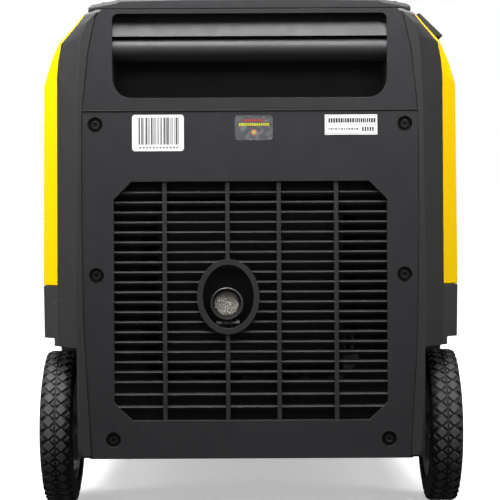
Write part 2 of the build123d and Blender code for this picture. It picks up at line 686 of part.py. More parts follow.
def wheel_retainers():
    """Washers inside and outside each hub, on the axle."""
    rings = []
    for x, width in ((WHEEL_X - HUB_LENGTH / 2 - 1.8, 1.5), (WHEEL_X + HUB_LENGTH / 2 + 0.3, 3.6)):
        ring = rod_x(AXLE_RADIUS + 4, x, x + width, AXLE_Y, WHEEL_RADIUS)
        rings.append(ring - rod_x(AXLE_RADIUS, 0, TRACK_WIDTH, AXLE_Y, WHEEL_RADIUS))
    return mirrored(Compound(children=rings))


def base_tray():
    """Steel tray with folded edges that carries everything."""
    y0 = FLANGE_BACK
    y1 = FASCIA_FACE - FASCIA_SHEET
    sheet = block(-TRAY_HALF, TRAY_HALF, y0, y1, TRAY_BASE, FLOOR)
    side = block(TRAY_HALF - TRAY_SHEET, TRAY_HALF, REAR + HOOP_DEPTH + SEAM, FRONT - HOOP_DEPTH - SEAM,
                 TRAY_BASE, TRAY_TOP)
    ends = [block(-TRAY_END_HALF, TRAY_END_HALF, y, y + TRAY_SHEET, TRAY_BASE, TRAY_TOP)
            for y in (y0, y1 - TRAY_SHEET)]
    slots = [block(-60, 60, CRANK_Y + d - 3, CRANK_Y + d + 3, 0, TRAY_TOP) for d in (-24, -12, 0, 12, 24)]
    holes = [rod_z(BOLT_RADIUS + BOLT_FIT, 0, TRAY_TOP, x, FOOT_Y) for x in (-FOOT_X, FOOT_X)]
    edges = [side, mirror(side, about=Plane.YZ), *ends]
    return sheet + edges - slots - holes + axle_brackets()


def axle_brackets():
    """Plates on the tray that hold the axle."""
    x0 = TRAY_HALF - TRAY_SHEET - BRACKET_SHEET
    plate = block(x0, x0 + BRACKET_SHEET, AXLE_Y - 22, AXLE_Y + 22, FLOOR, WHEEL_RADIUS + 14)
    foot = block(x0 - 16, x0, AXLE_Y - 22, AXLE_Y + 22, FLOOR, FLOOR + BRACKET_SHEET)
    bracket = plate + foot - rod_x(AXLE_RADIUS + WHEEL_FIT, 0, TRACK_WIDTH, AXLE_Y, WHEEL_RADIUS)
    return [bracket, mirror(bracket, about=Plane.YZ)]


def front_feet():
    """Rubber feet under the control end."""
    seat = TRAY_BASE - FOOT_SEAT
    foot = rod_z(FOOT_RADIUS, 0, TRAY_BASE, FOOT_X, FOOT_Y)
    foot = chamfer(foot.edges().group_by(Axis.Z)[0], 3.0)
    foot -= rod_z(BOLT_HEAD + 1.5, -1, seat, FOOT_X, FOOT_Y)
    return mirrored(foot - rod_z(BOLT_RADIUS + BOLT_FIT, 0, TRAY_BASE + 1, FOOT_X, FOOT_Y))


def foot_bolts():
    """Bolts that hold the feet to the tray, with their nuts."""
    seat = TRAY_BASE - FOOT_SEAT
    bolt = rod_z(BOLT_RADIUS, seat, FLOOR + 7, FOOT_X, FOOT_Y)
    bolt += rod_z(BOLT_HEAD, seat - 6, seat, FOOT_X, FOOT_Y)
    nut = Pos(FOOT_X, FOOT_Y, FLOOR) * extrude(RegularPolygon(BOLT_HEAD - 0.3, 6), 5)
    nut -= rod_z(BOLT_RADIUS, 0, 2 * FLOOR, FOOT_X, FOOT_Y)
    return mirrored(Compound(children=[bolt, nut]))


# Engine, in a frame tilted towards the exhaust end

def tilted(shape):
    """Places a shape drawn about the crank centre."""
    return Pos(0, CRANK_Y, CRANK_Z) * Rot(ENGINE_TILT, 0, 0) * shape


def engine_crankcase():
    """Cast crankcase with its deck, end bores and feet."""
    case = rod_x(CASE_RADIUS, CASE_LEFT, CASE_RIGHT, CRANK_Y, CRANK_Z)
    case += tilted(block(-DECK_HALF, DECK_HALF, -DECK_HALF, DECK_HALF, 0, DECK_HEIGHT))
    case += [block(x - 14, x + 14, CRANK_Y - 64, CRANK_Y + 64, CRANK_Z - CASE_RADIUS - 6, CRANK_Z - 40)
             for x in (-40, 40)]
    case -= rod_x(CASE_RADIUS - CASE_WALL, CASE_LEFT + CASE_WALL, CASE_RIGHT - CASE_WALL, CRANK_Y, CRANK_Z)
    case -= tilted(rod_z(BORE_RADIUS, 0, DECK_HEIGHT + 1, 0, 0))
    return case - rod_x(SHAFT_RADIUS + SHAFT_FIT, -TRACK_WIDTH, TRACK_WIDTH, CRANK_Y, CRANK_Z)


def finned(base, height, half):
    """A block with cooling fins round it, in the tilted frame."""
    core = block(-half + 10, half - 10, -half + 10, half - 10, base, base + height)
    fins = []
    level = base + FIN_PITCH
    while level + FIN_THICKNESS < base + height:
        fins.append(block(-half, half, -half, half, level, level + FIN_THICKNESS))
        level += FIN_PITCH
    return core + fins


def engine_cylinder():
    """Finned cylinder with its bore."""
    barrel = finned(DECK_HEIGHT, BARREL_HEIGHT, DECK_HALF)
    return tilted(barrel - rod_z(BORE_RADIUS, 0, 2 * DECK_HEIGHT + BARREL_HEIGHT, 0, 0))


HEAD_BASE = DECK_HEIGHT + BARREL_HEIGHT
HEAD_MIDDLE = HEAD_BASE + HEAD_HEIGHT / 2


def cylinder_head():
    """Finned head with flat sides where the ports open, and its rocker cover."""
    head = finned(HEAD_BASE, HEAD_HEIGHT, DECK_HALF)
    head += block(0, DECK_HALF, -20, 20, HEAD_BASE, HEAD_BASE + HEAD_HEIGHT)
    head += block(-20, 20, -DECK_HALF, 0, HEAD_BASE, HEAD_BASE + HEAD_HEIGHT)
    head -= rod_x(7.0, -DECK_HALF - 1, -10, 0, HEAD_MIDDLE)
    half = DECK_HALF - 12
    cover = block(-half, half, -half, half, HEAD_BASE + HEAD_HEIGHT, HEAD_BASE + HEAD_HEIGHT + ROCKER_HEIGHT)
    return tilted(head + fillet(cover.edges().filter_by(Axis.Z), 12.0))


def piston():
    """Piston at the middle of its stroke."""
    body = rod_z(BORE_RADIUS - 0.06, DECK_HEIGHT + 12, DECK_HEIGHT + 56, 0, 0)
    return tilted(body - rod_z(BORE_RADIUS - 5, DECK_HEIGHT + 11, DECK_HEIGHT + 48, 0, 0))


def spark_plug():
    """Spark plug with its hexagon and insulator, pointing out to the left."""
    body = rod_x(6.9, -DECK_HALF, -20, 0, HEAD_MIDDLE)
    body += rod_x(10.5, -DECK_HALF - 9, -DECK_HALF, 0, HEAD_MIDDLE)
    return tilted(body + rod_x(5.5, -DECK_HALF - 34, -DECK_HALF - 9, 0, HEAD_MIDDLE))


def carburettor():
    """Carburettor body on the right of the head, with its float bowl."""
    body = block(DECK_HALF, DECK_HALF + 36, -19, 19, HEAD_BASE - 2, HEAD_BASE + HEAD_HEIGHT)
    return tilted(body + rod_z(14, HEAD_BASE - 26, HEAD_BASE - 2, DECK_HALF + 18, 0))


def air_filter_box():
    """Air filter housing behind the service door."""
    box = block(DECK_HALF + 36, DECK_HALF + 112, -48, 42, HEAD_BASE - 34, HEAD_BASE + HEAD_HEIGHT + 14)
    return tilted(fillet(box.edges().filter_by(Axis.X), 10.0))


def crankshaft():
    """Crankshaft with two webs and a crank pin."""
    shaft = rod_x(SHAFT_RADIUS, CASE_LEFT - 84, CASE_LEFT + 30, CRANK_Y, CRANK_Z)
    shaft += rod_x(SHAFT_RADIUS, CASE_RIGHT - 30, CASE_RIGHT + 4, CRANK_Y, CRANK_Z)
    for x in (CASE_LEFT + 22, CASE_RIGHT - 34):
        shaft += rod_x(WEB_RADIUS, x, x + 12, CRANK_Y, CRANK_Z)
    return shaft + rod_x(13, CASE_LEFT + 34, CASE_RIGHT - 34, CRANK_Y, CRANK_Z + 27)


def stator():
    """Wound ring fixed to the crankcase."""
    ring = rod_x(STATOR_RADIUS, CASE_LEFT - 34, CASE_LEFT, CRANK_Y, CRANK_Z)
    return ring - rod_x(SHAFT_RADIUS + 4, -TRACK_WIDTH, 0, CRANK_Y, CRANK_Z)


def flywheel_fan():
    """Magnet bell around the stator with fan blades on its face."""
    bell = rod_x(ROTOR_RADIUS, CASE_LEFT - 46, CASE_LEFT - 4, CRANK_Y, CRANK_Z)
    bell -= rod_x(STATOR_RADIUS + ROTOR_GAP, CASE_LEFT - 38, 0, CRANK_Y, CRANK_Z)
    blade = block(CASE_LEFT - 66, CASE_LEFT - 46, -1.5, 1.5, 36, ROTOR_RADIUS - 2)
    bell += [Pos(0, CRANK_Y, CRANK_Z) * Rot(360 * i / FAN_BLADES, 0, 0) * blade for i in range(FAN_BLADES)]
    return bell - rod_x(SHAFT_RADIUS, -TRACK_WIDTH, TRACK_WIDTH, CRANK_Y, CRANK_Z)


def recoil_housing():
    """Round shroud over the fan and the magnet bell, closed by the dished starter housing."""
    tube = rod_x(SHROUD_RADIUS, CASE_LEFT - 74, CASE_LEFT, CRANK_Y, CRANK_Z)
    tube -= rod_x(SHROUD_RADIUS - WALL, CASE_LEFT - 75, CASE_LEFT - WALL, CRANK_Y, CRANK_Z)
    tube -= rod_x(STATOR_RADIUS + SEAM, -TRACK_WIDTH, TRACK_WIDTH, CRANK_Y, CRANK_Z)
    x1 = CASE_LEFT - 74
    dish = rod_x(SHROUD_RADIUS, x1 - 22, x1, CRANK_Y, CRANK_Z) - rod_x(SHROUD_RADIUS - WALL, x1 - 19, x1 + 1,
                                                                       CRANK_Y, CRANK_Z)
    vents = [Pos(0, CRANK_Y, CRANK_Z) * Rot(360 * i / 10, 0, 0) * block(x1 - 30, x1 - 10, -5, 5, 40, 76)
             for i in range(10)]
    return tube + (dish - vents)


def engine_mounts():
    """Rubber mounts between the tray and the crankcase feet."""
    top = CRANK_Z - CASE_RADIUS - 6
    places = [(x, CRANK_Y + y) for x in (-40, 40) for y in (-44, 44)]
    return Compound(children=[rod_z(MOUNT_RADIUS, FLOOR, top, x, y) for x, y in places])


def muffler():
    """Rounded silencer box on two feet, with its pipe from the head."""
    box = block(-MUFFLER_HALF, MUFFLER_HALF, MUFFLER_REAR, MUFFLER_FRONT, MUFFLER_BASE, MUFFLER_TOP)
    box = fillet(box.edges().filter_by(Axis.X), 20.0)
    hollow = block(MUFFLER_WALL - MUFFLER_HALF, MUFFLER_HALF - MUFFLER_WALL, MUFFLER_REAR + MUFFLER_WALL,
                   MUFFLER_FRONT - MUFFLER_WALL, MUFFLER_BASE + MUFFLER_WALL, MUFFLER_TOP - MUFFLER_WALL)
    hollow = fillet(hollow.edges().filter_by(Axis.X), 18.0)
    legs = [block(x - 10, x + 10, MUFFLER_REAR + 16, MUFFLER_REAR + 36, FLOOR, MUFFLER_BASE + 5)
            for x in (-70, 70)]
    pipe = tilted(rod_y(PORT_RADIUS, -DECK_HALF - 90, -DECK_HALF, 0, HEAD_MIDDLE))
    pipe &= block(-60, 60, MUFFLER_FRONT - 30, 0, MUFFLER_BASE, SHELL_TOP)
    outlet = rod_y(TIP_RADIUS - TIP_WALL, MUFFLER_REAR - 1, MUFFLER_REAR + 30, TIP_X, TIP_Z)
    return box + legs + pipe - hollow - outlet


def exhaust_tip():
    """Outlet tube that ends inside the collar."""
    tube = rod_y(TIP_RADIUS, TIP_END, MUFFLER_REAR, TIP_X, TIP_Z)
    return tube - rod_y(TIP_RADIUS - TIP_WALL, TIP_END - 1, MUFFLER_REAR + 1, TIP_X, TIP_Z)


def spark_arrester():
    """Mesh disc held in the outlet tube."""
    return rod_y(TIP_RADIUS - TIP_WALL, TIP_END + 3, TIP_END + 5, TIP_X, TIP_Z)


def exhaust_clamp():
    """Band clamp around the outlet tube, with ears, a screw and a barrel nut."""
    y0 = TIP_END + 11
    y1 = y0 + 9
    band = rod_y(TIP_RADIUS + 1.5, y0, y1, TIP_X, TIP_Z) - rod_y(TIP_RADIUS, y0 - 1, y1 + 1, TIP_X, TIP_Z)
    ear_top = TIP_Z - TIP_RADIUS
    screw_z = ear_top - 4.0
    ears = [block(TIP_X + x, TIP_X + x + 1.8, y0, y1, screw_z - 4, ear_top) for x in (-4.5, 2.7)]
    pin = rod_x(2.0, TIP_X - 11, TIP_X + 9, (y0 + y1) / 2, screw_z)
    head = rod_x(3.6, TIP_X + 9, TIP_X + 12.5, (y0 + y1) / 2, screw_z)
    nut = rod_x(3.4, TIP_X - 11, TIP_X - 6, (y0 + y1) / 2, screw_z)
    return band + ears + pin + head + nut


# Fuel

def fuel_tank():
    """Hollow tank under the top cover, with its filler neck."""
    top = SHELL_TOP - WALL
    outer = block(-TANK_HALF, TANK_HALF, TANK_REAR, TANK_FRONT, TANK_BASE, top)
    outer = fillet(outer.edges().filter_by(Axis.Z), 22.0)
    inner = block(-TANK_HALF + TANK_WALL, TANK_HALF - TANK_WALL, TANK_REAR + TANK_WALL,
                  TANK_FRONT - TANK_WALL, TANK_BASE + TANK_WALL, top - TANK_WALL)
    inner = fillet(inner.edges().filter_by(Axis.Z), 20.0)
    neck = rod_z(NECK_RADIUS, top - TANK_WALL, SHELL_TOP + NECK_RISE, NECK_X, NECK_Y)
    bore = rod_z(NECK_RADIUS - NECK_WALL, TANK_BASE + 20, 2 * SHELL_TOP, NECK_X, NECK_Y)
    return outer - inner + neck - bore


def fuel_cap():
    """Ribbed cap over the neck."""
    base = SHELL_TOP + 0.4
    cap = rod_z(CAP_RADIUS, base, CAP_TOP, NECK_X, NECK_Y)
    cap = chamfer(cap.edges().group_by(Axis.Z)[-1], 1.5)
    notch = Pos(NECK_X, NECK_Y, 0) * rod_z(3.0, 0, 2 * SHELL_TOP, CAP_RADIUS + 1.4, 0)
    ribs = [Pos(NECK_X, NECK_Y, 0) * Rot(0, 0, 15 * i) * Pos(-NECK_X, -NECK_Y, 0) * notch for i in range(24)]
    return cap - ribs - rod_z(NECK_RADIUS + 0.3, 0, SHELL_TOP + NECK_RISE + 0.3, NECK_X, NECK_Y)


def vent_lever():
    """Small air vent lever on the cap."""
    hub = rod_z(6.5, CAP_TOP, CAP_TOP + 2.4, NECK_X, NECK_Y)
    return hub + block(NECK_X - 3, NECK_X + 3, NECK_Y, NECK_Y + 20, CAP_TOP, CAP_TOP + 2.4)


# Control end

def fascia():
    """Recessed panel at the control end, with a rim out to the end face."""
    y0 = FASCIA_FACE - FASCIA_SHEET
    sheet = prism_y(both_sides(panel_outline(2.5)), y0, FASCIA_FACE)
    rim_wall = prism_y(both_sides(panel_outline()), FASCIA_FACE, FRONT - 0.8) - prism_y(
        both_sides(panel_outline(-WALL)), FASCIA_FACE - 0.1, FRONT)
    sheet &= block(-END_HALF, END_HALF, 0, FRONT, SHELL_BASE, PANEL_TOP)
    rim_wall &= block(-END_HALF, END_HALF, 0, FRONT, SHELL_BASE, PANEL_TOP)
    flange = prism_y(both_sides(panel_outline(2.5)), FRONT - WALL - FLANGE, FRONT - WALL) - prism_y(
        both_sides(panel_outline(-WALL)), 0, FRONT)
    flange &= INNER & block(-END_HALF, END_HALF, 0, FRONT, SHELL_BASE, PANEL_TOP)
    sill_bar = block(-END_HALF + 22, END_HALF - 22, FASCIA_FACE, FRONT - 0.8, SHELL_BASE, SHELL_BASE + WALL)
    holes = [rod_y(SCREW_SHANK + 0.1, 0, FRONT, x * FASCIA_INSET, z) for x, z in all_screw_places()]
    return sheet + rim_wall + flange + sill_bar - holes


def socket_body(x):
    """One flush outlet with its round well and two contact holes."""
    half = SOCKET_SIZE / 2
    body = block(x - half, x + half, FASCIA_FACE, FASCIA_FACE + SOCKET_DEPTH,
                 SOCKET_ROW - half, SOCKET_ROW + half)
    body = fillet(body.edges().filter_by(Axis.Y), 8.0)
    body -= rod_y(SOCKET_RADIUS, FASCIA_FACE + 2, FASCIA_FACE + 20, x, SOCKET_ROW)
    return body - [rod_y(2.6, FASCIA_FACE + 0.5, FASCIA_FACE + 5, x + d, SOCKET_ROW) for d in (-9.5, 9.5)]


def outlet_fittings():
    """The mains outlets, the low voltage outlet and the frames of the buttons."""
    mains = [socket_body(x) for x in SOCKET_PLACES]
    return Compound(children=[*mains, dc_socket(), breaker_frame(), start_bezel()])


def outlet_lid(x):
    """Sprung lid over an outlet, hung from its top edge."""
    y0 = FASCIA_FACE + SOCKET_DEPTH + 0.4
    radius = SOCKET_RADIUS + 4
    lid = rod_y(radius, y0, y0 + LID_THICKNESS, x, SOCKET_ROW)
    lid += block(x - 10, x + 10, y0, y0 + LID_THICKNESS, SOCKET_ROW + 10, SOCKET_ROW + radius + 2)
    lid += block(x - 8, x + 8, y0, y0 + LID_THICKNESS, SOCKET_ROW - radius - 3, SOCKET_ROW - 10)
    return lid


def dc_socket():
    """Low voltage outlet."""
    body = rod_y(17, FASCIA_FACE, FASCIA_FACE + 7, DC_X, SOCKET_ROW)
    return body - rod_y(11, FASCIA_FACE + 1, FASCIA_FACE + 20, DC_X, SOCKET_ROW)


def breaker_frame():
    """Plate that the reset button stands in."""
    x0 = BREAKER_X - 15
    x1 = BREAKER_X + 15
    plate = block(x0, x1, FASCIA_FACE, FASCIA_FACE + 3, SOCKET_ROW - 15, SOCKET_ROW + 15)
    return plate - rod_y(BREAKER_RADIUS + 0.4, FASCIA_FACE + 0.5, FRONT, BREAKER_X, SOCKET_ROW)


def breaker_button():
    """Round reset button."""
    return rod_y(BREAKER_RADIUS, FASCIA_FACE + 2.6, FASCIA_FACE + 8, BREAKER_X, SOCKET_ROW)


def ground_terminal():
    """Earth stud with a nut and a wing nut."""
    x, z = GROUND_PLACE
    stud = rod_y(3.0, FASCIA_FACE, FASCIA_FACE + 14, x, z)
    nut = rod_y(7.5, FASCIA_FACE, FASCIA_FACE + 4, x, z) + rod_y(6, FASCIA_FACE + 4, FASCIA_FACE + 10, x, z)
    wings = block(x - 13, x + 13, FASCIA_FACE + 6, FASCIA_FACE + 12, z - 1.6, z + 1.6)
    return stud + nut + wings


def display_window():
    """Raised meter window."""
    window = block(DISPLAY_X - 44, DISPLAY_X + 44, FASCIA_FACE, FASCIA_FACE + 5,
                   CONTROL_ROW - 24, CONTROL_ROW + 24)
    return chamfer(window.faces().sort_by(Axis.Y)[-1].edges(), 2.0)


def pilot_lamps():
    """Three small lamps under the buttons."""
    z = CONTROL_ROW - 44
    return Compound(children=[rod_y(3.2, FASCIA_FACE, FASCIA_FACE + 3, x, z) for x in LIGHT_PLACES])


def selector_knob():
    """Rotary engine switch with a finger bar."""
    y0 = FASCIA_FACE + 0.5
    knob = rod_y(KNOB_RADIUS, y0, y0 + 4, KNOB_X, CONTROL_ROW)
    bar = block(KNOB_X - 5, KNOB_X + 5, y0 + 4, y0 + 4 + KNOB_DEPTH - 3, CONTROL_ROW - KNOB_RADIUS + 3,
                CONTROL_ROW + KNOB_RADIUS - 3)
    return knob + fillet(bar.edges().filter_by(Axis.Y), 3.0)


def start_button():
    """Round start button."""
    button = rod_y(BUTTON_RADIUS, FASCIA_FACE + 2.6, FASCIA_FACE + 8, BUTTON_X, CONTROL_ROW)
    return chamfer(button.edges().group_by(Axis.Y)[-1], 0.8)


def start_bezel():
    """Ring around the start button."""
    ring = rod_y(BUTTON_RADIUS + 4, FASCIA_FACE, FASCIA_FACE + 4, BUTTON_X, CONTROL_ROW)
    return ring - rod_y(BUTTON_RADIUS + 0.4, FASCIA_FACE + 0.4, FRONT, BUTTON_X, CONTROL_ROW)


def eco_rocker():
    """Economy throttle rocker, with its face folded about the middle."""
    y0 = FASCIA_FACE + 2.2
    outline = [(y0, CONTROL_ROW - 10), (y0 + 5, CONTROL_ROW - 10), (y0 + 3.4, CONTROL_ROW),
               (y0 + 5, CONTROL_ROW + 10), (y0, CONTROL_ROW + 10)]
    return prism_x(outline, ROCKER_X - 6.5, ROCKER_X + 6.5)


def inverter_module():
    """Finned power module behind the control panel."""
    y0 = MODULE_REAR
    y1 = MODULE_REAR + INVERTER_LENGTH
    root = FLOOR + INVERTER_CORE
    core = block(INVERTER_LEFT, INVERTER_LEFT + INVERTER_WIDTH, y0, y1, FLOOR, root)
    count = round(INVERTER_WIDTH / INVERTER_FIN_PITCH)
    fins = [block(x, x + FIN_THICKNESS, y0, y1, root, root + INVERTER_FIN)
            for x in (INVERTER_LEFT + i * INVERTER_FIN_PITCH for i in range(count))]
    return core + fins


def battery():
    """Starter battery with two posts."""
    x1 = BATTERY_LEFT + BATTERY_WIDTH
    y1 = MODULE_REAR + BATTERY_LENGTH
    top = FLOOR + BATTERY_HEIGHT
    case = block(BATTERY_LEFT, x1, MODULE_REAR, y1, FLOOR, top)
    case = fillet(case.edges().filter_by(Axis.Z), 4.0)
    return case + [rod_z(5, top, top + 6, x, y1 - 15) for x in (BATTERY_LEFT + 12, x1 - 12)]


def recoil_grip():
    """Starter grip in its pocket, on a short stem."""
    length, depth, height = RECOIL_GRIP
    floor_x = -SIDE_HALF + RECOIL_POCKET[1] - WALL
    x1 = floor_x - 1.5
    grip = block(x1 - depth, x1, RECOIL_Y - length / 2, RECOIL_Y + length / 2, RECOIL_Z - height / 2,
                 RECOIL_Z + height / 2)
    grip = fillet(grip.edges().filter_by(Axis.X), 6.0)
    return grip + rod_x(STEM_RADIUS, x1, x1 + 48, RECOIL_Y, RECOIL_Z)


PARTS = {
    "base_tray": base_tray, "rear_hoop": rear_hoop, "front_hoop": front_hoop, "rear_panel": rear_panel,
    "panel_screws": panel_screws, "baffle_plate": baffle_plate, "rear_handle_cover": handle_cover,
    "front_handle_cover": lambda: other_end(handle_cover()), "grip_bars": grip_bars,
    "left_side_panel": left_side_panel, "right_side_panel": right_side_panel, "left_sill": lambda: sill(-1),
    "right_sill": lambda: sill(1), "top_cover": top_cover, "service_door": service_door, "tow_arms": tow_arms,
    "tow_grip": tow_grip, "handle_brackets": handle_brackets, "handle_pins": handle_pins,
    "left_tyre": lambda: tyre(-1), "left_rim": lambda: rim(-1), "right_tyre": lambda: tyre(1),
    "right_rim": lambda: rim(1), "axle": axle, "wheel_retainers": wheel_retainers, "front_feet": front_feet,
    "foot_bolts": foot_bolts, "engine_crankcase": engine_crankcase, "engine_cylinder": engine_cylinder,
    "cylinder_head": cylinder_head, "piston": piston, "spark_plug": spark_plug, "carburettor": carburettor,
    "air_filter_box": air_filter_box, "crankshaft": crankshaft, "stator": stator,
    "flywheel_fan": flywheel_fan,
    "recoil_housing": recoil_housing, "engine_mounts": engine_mounts, "muffler": muffler,
    "exhaust_tip": exhaust_tip, "spark_arrester": spark_arrester,
    "exhaust_clamp": exhaust_clamp, "fuel_tank": fuel_tank, "fuel_cap": fuel_cap, "vent_lever": vent_lever,
    "front_panel": fascia, "outlet_fittings": outlet_fittings,
    "left_outlet_lid": lambda: outlet_lid(SOCKET_PLACES[0]),
    "right_outlet_lid": lambda: outlet_lid(SOCKET_PLACES[1]),
    "breaker_button": breaker_button, "ground_terminal": ground_terminal, "display_window": display_window,
    "pilot_lamps": pilot_lamps, "selector_knob": selector_knob, "start_button": start_button,
    "eco_rocker": eco_rocker, "inverter_module": inverter_module, "battery": battery,
    "recoil_grip": recoil_grip,
}


def main():
    """Builds every sub-part and writes it to its own file."""
    os.makedirs("parts", exist_ok=True)
    for name, build in PARTS.items():
        export_step(build(), f"parts/{name}.step")


main()
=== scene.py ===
"""Looks of a closed inverter generator on two wheels, built around its fixed CAD frame."""

import json
import logging
import math
import random
from contextlib import contextmanager
from dataclasses import dataclass, field
from enum import Enum
from typing import Callable, Iterable, Iterator

import bmesh
import bpy
from mathutils import Matrix, Vector

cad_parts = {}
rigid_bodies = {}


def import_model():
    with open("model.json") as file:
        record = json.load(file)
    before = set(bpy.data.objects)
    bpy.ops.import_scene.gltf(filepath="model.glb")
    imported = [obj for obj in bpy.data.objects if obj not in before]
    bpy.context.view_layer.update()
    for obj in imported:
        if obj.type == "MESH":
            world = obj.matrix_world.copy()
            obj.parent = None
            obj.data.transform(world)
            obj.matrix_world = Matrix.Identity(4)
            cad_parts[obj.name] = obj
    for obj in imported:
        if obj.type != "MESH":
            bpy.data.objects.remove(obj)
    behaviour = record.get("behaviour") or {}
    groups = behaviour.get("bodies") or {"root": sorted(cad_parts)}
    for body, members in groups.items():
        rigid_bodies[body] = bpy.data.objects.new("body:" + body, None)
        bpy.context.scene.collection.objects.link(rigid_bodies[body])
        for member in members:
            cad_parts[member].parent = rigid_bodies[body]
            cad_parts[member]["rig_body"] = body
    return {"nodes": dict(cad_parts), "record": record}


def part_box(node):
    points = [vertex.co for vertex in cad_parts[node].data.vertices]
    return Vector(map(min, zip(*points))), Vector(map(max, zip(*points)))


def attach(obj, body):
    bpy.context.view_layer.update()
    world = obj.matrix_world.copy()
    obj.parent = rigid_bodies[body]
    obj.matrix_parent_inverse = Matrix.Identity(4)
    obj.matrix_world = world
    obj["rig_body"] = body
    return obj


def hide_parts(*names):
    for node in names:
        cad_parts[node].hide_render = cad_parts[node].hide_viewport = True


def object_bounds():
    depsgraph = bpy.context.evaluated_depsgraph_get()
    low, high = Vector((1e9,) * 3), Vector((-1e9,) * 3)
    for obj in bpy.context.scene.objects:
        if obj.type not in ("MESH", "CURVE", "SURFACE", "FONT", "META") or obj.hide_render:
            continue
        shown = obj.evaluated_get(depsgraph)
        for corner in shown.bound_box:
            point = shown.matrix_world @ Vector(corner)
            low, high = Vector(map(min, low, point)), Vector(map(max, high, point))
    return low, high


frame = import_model()
CAD_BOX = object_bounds()
LOG = logging.getLogger("generator")

MM = 0.001
SMOOTH_ANGLE = math.radians(38)
FLAT_ANGLE = math.radians(0.4)
MERGE_GAP = 0.004 * MM
FINE_EDGE = 0.02 * MM
NODES = frame["nodes"]
TEXTURE = "ShaderNodeTexCoord"

Piece = bpy.types.Object
Socket = bpy.types.NodeSocket
Material = bpy.types.Material
Pair = tuple[float, float]
Triple = tuple[float, float, float]
Colour = Triple


class Axis(Enum):
    """Directions that a primitive can be laid along, each with the turn that lays it down."""

    X = (0.0, math.pi / 2, 0.0)
    Y = (math.pi / 2, 0.0, 0.0)

    @property
    def along(self) -> Vector:
        """The direction itself."""
        return Vector([float(letter == self.name) for letter in "XYZ"])


# Shader expressions


class Value:
    """A number socket that can be used in a Python expression."""

    def __init__(self, graph: "Graph", socket: Socket) -> None:
        """Wraps a socket.

        Args:
            graph: The graph that the socket belongs to.
            socket: An output socket that gives a number.
        """
        self.graph = graph
        self.socket = socket

    def _math(self, operation: str, first: "Value | float", second: "Value | float") -> "Value":
        """Adds one Math node and returns its result."""
        made = self.graph.node("ShaderNodeMath", {"operation": operation}, {0: first, 1: second})
        return Value(self.graph, made.outputs[0])

    def __add__(self, other: "Value | float") -> "Value":
        """Adds."""
        return self._math("ADD", self, other)

    __radd__ = __add__

    def __sub__(self, other: "Value | float") -> "Value":
        """Subtracts."""
        return self._math("SUBTRACT", self, other)

    def __rsub__(self, other: float) -> "Value":
        """Subtracts, reflected."""
        return self._math("SUBTRACT", other, self)

    def __mul__(self, other: "Value | float") -> "Value":
        """Multiplies."""
        return self._math("MULTIPLY", self, other)

    __rmul__ = __mul__

    def above(self, limit: float, soft: float = 0.05) -> "Value":
        """Turns the number into a mask that rises from 0 to 1 around a limit.

        Args:
            limit: Where the mask is half way.
            soft: Half the width of the rise.

        Returns:
            The mask.
        """
        made = self.graph.node("ShaderNodeMapRange", {"interpolation_type": "SMOOTHSTEP"},
                               {0: self, 1: limit - soft, 2: limit + soft, 3: 0.0, 4: 1.0})
        return Value(self.graph, made.outputs[0])


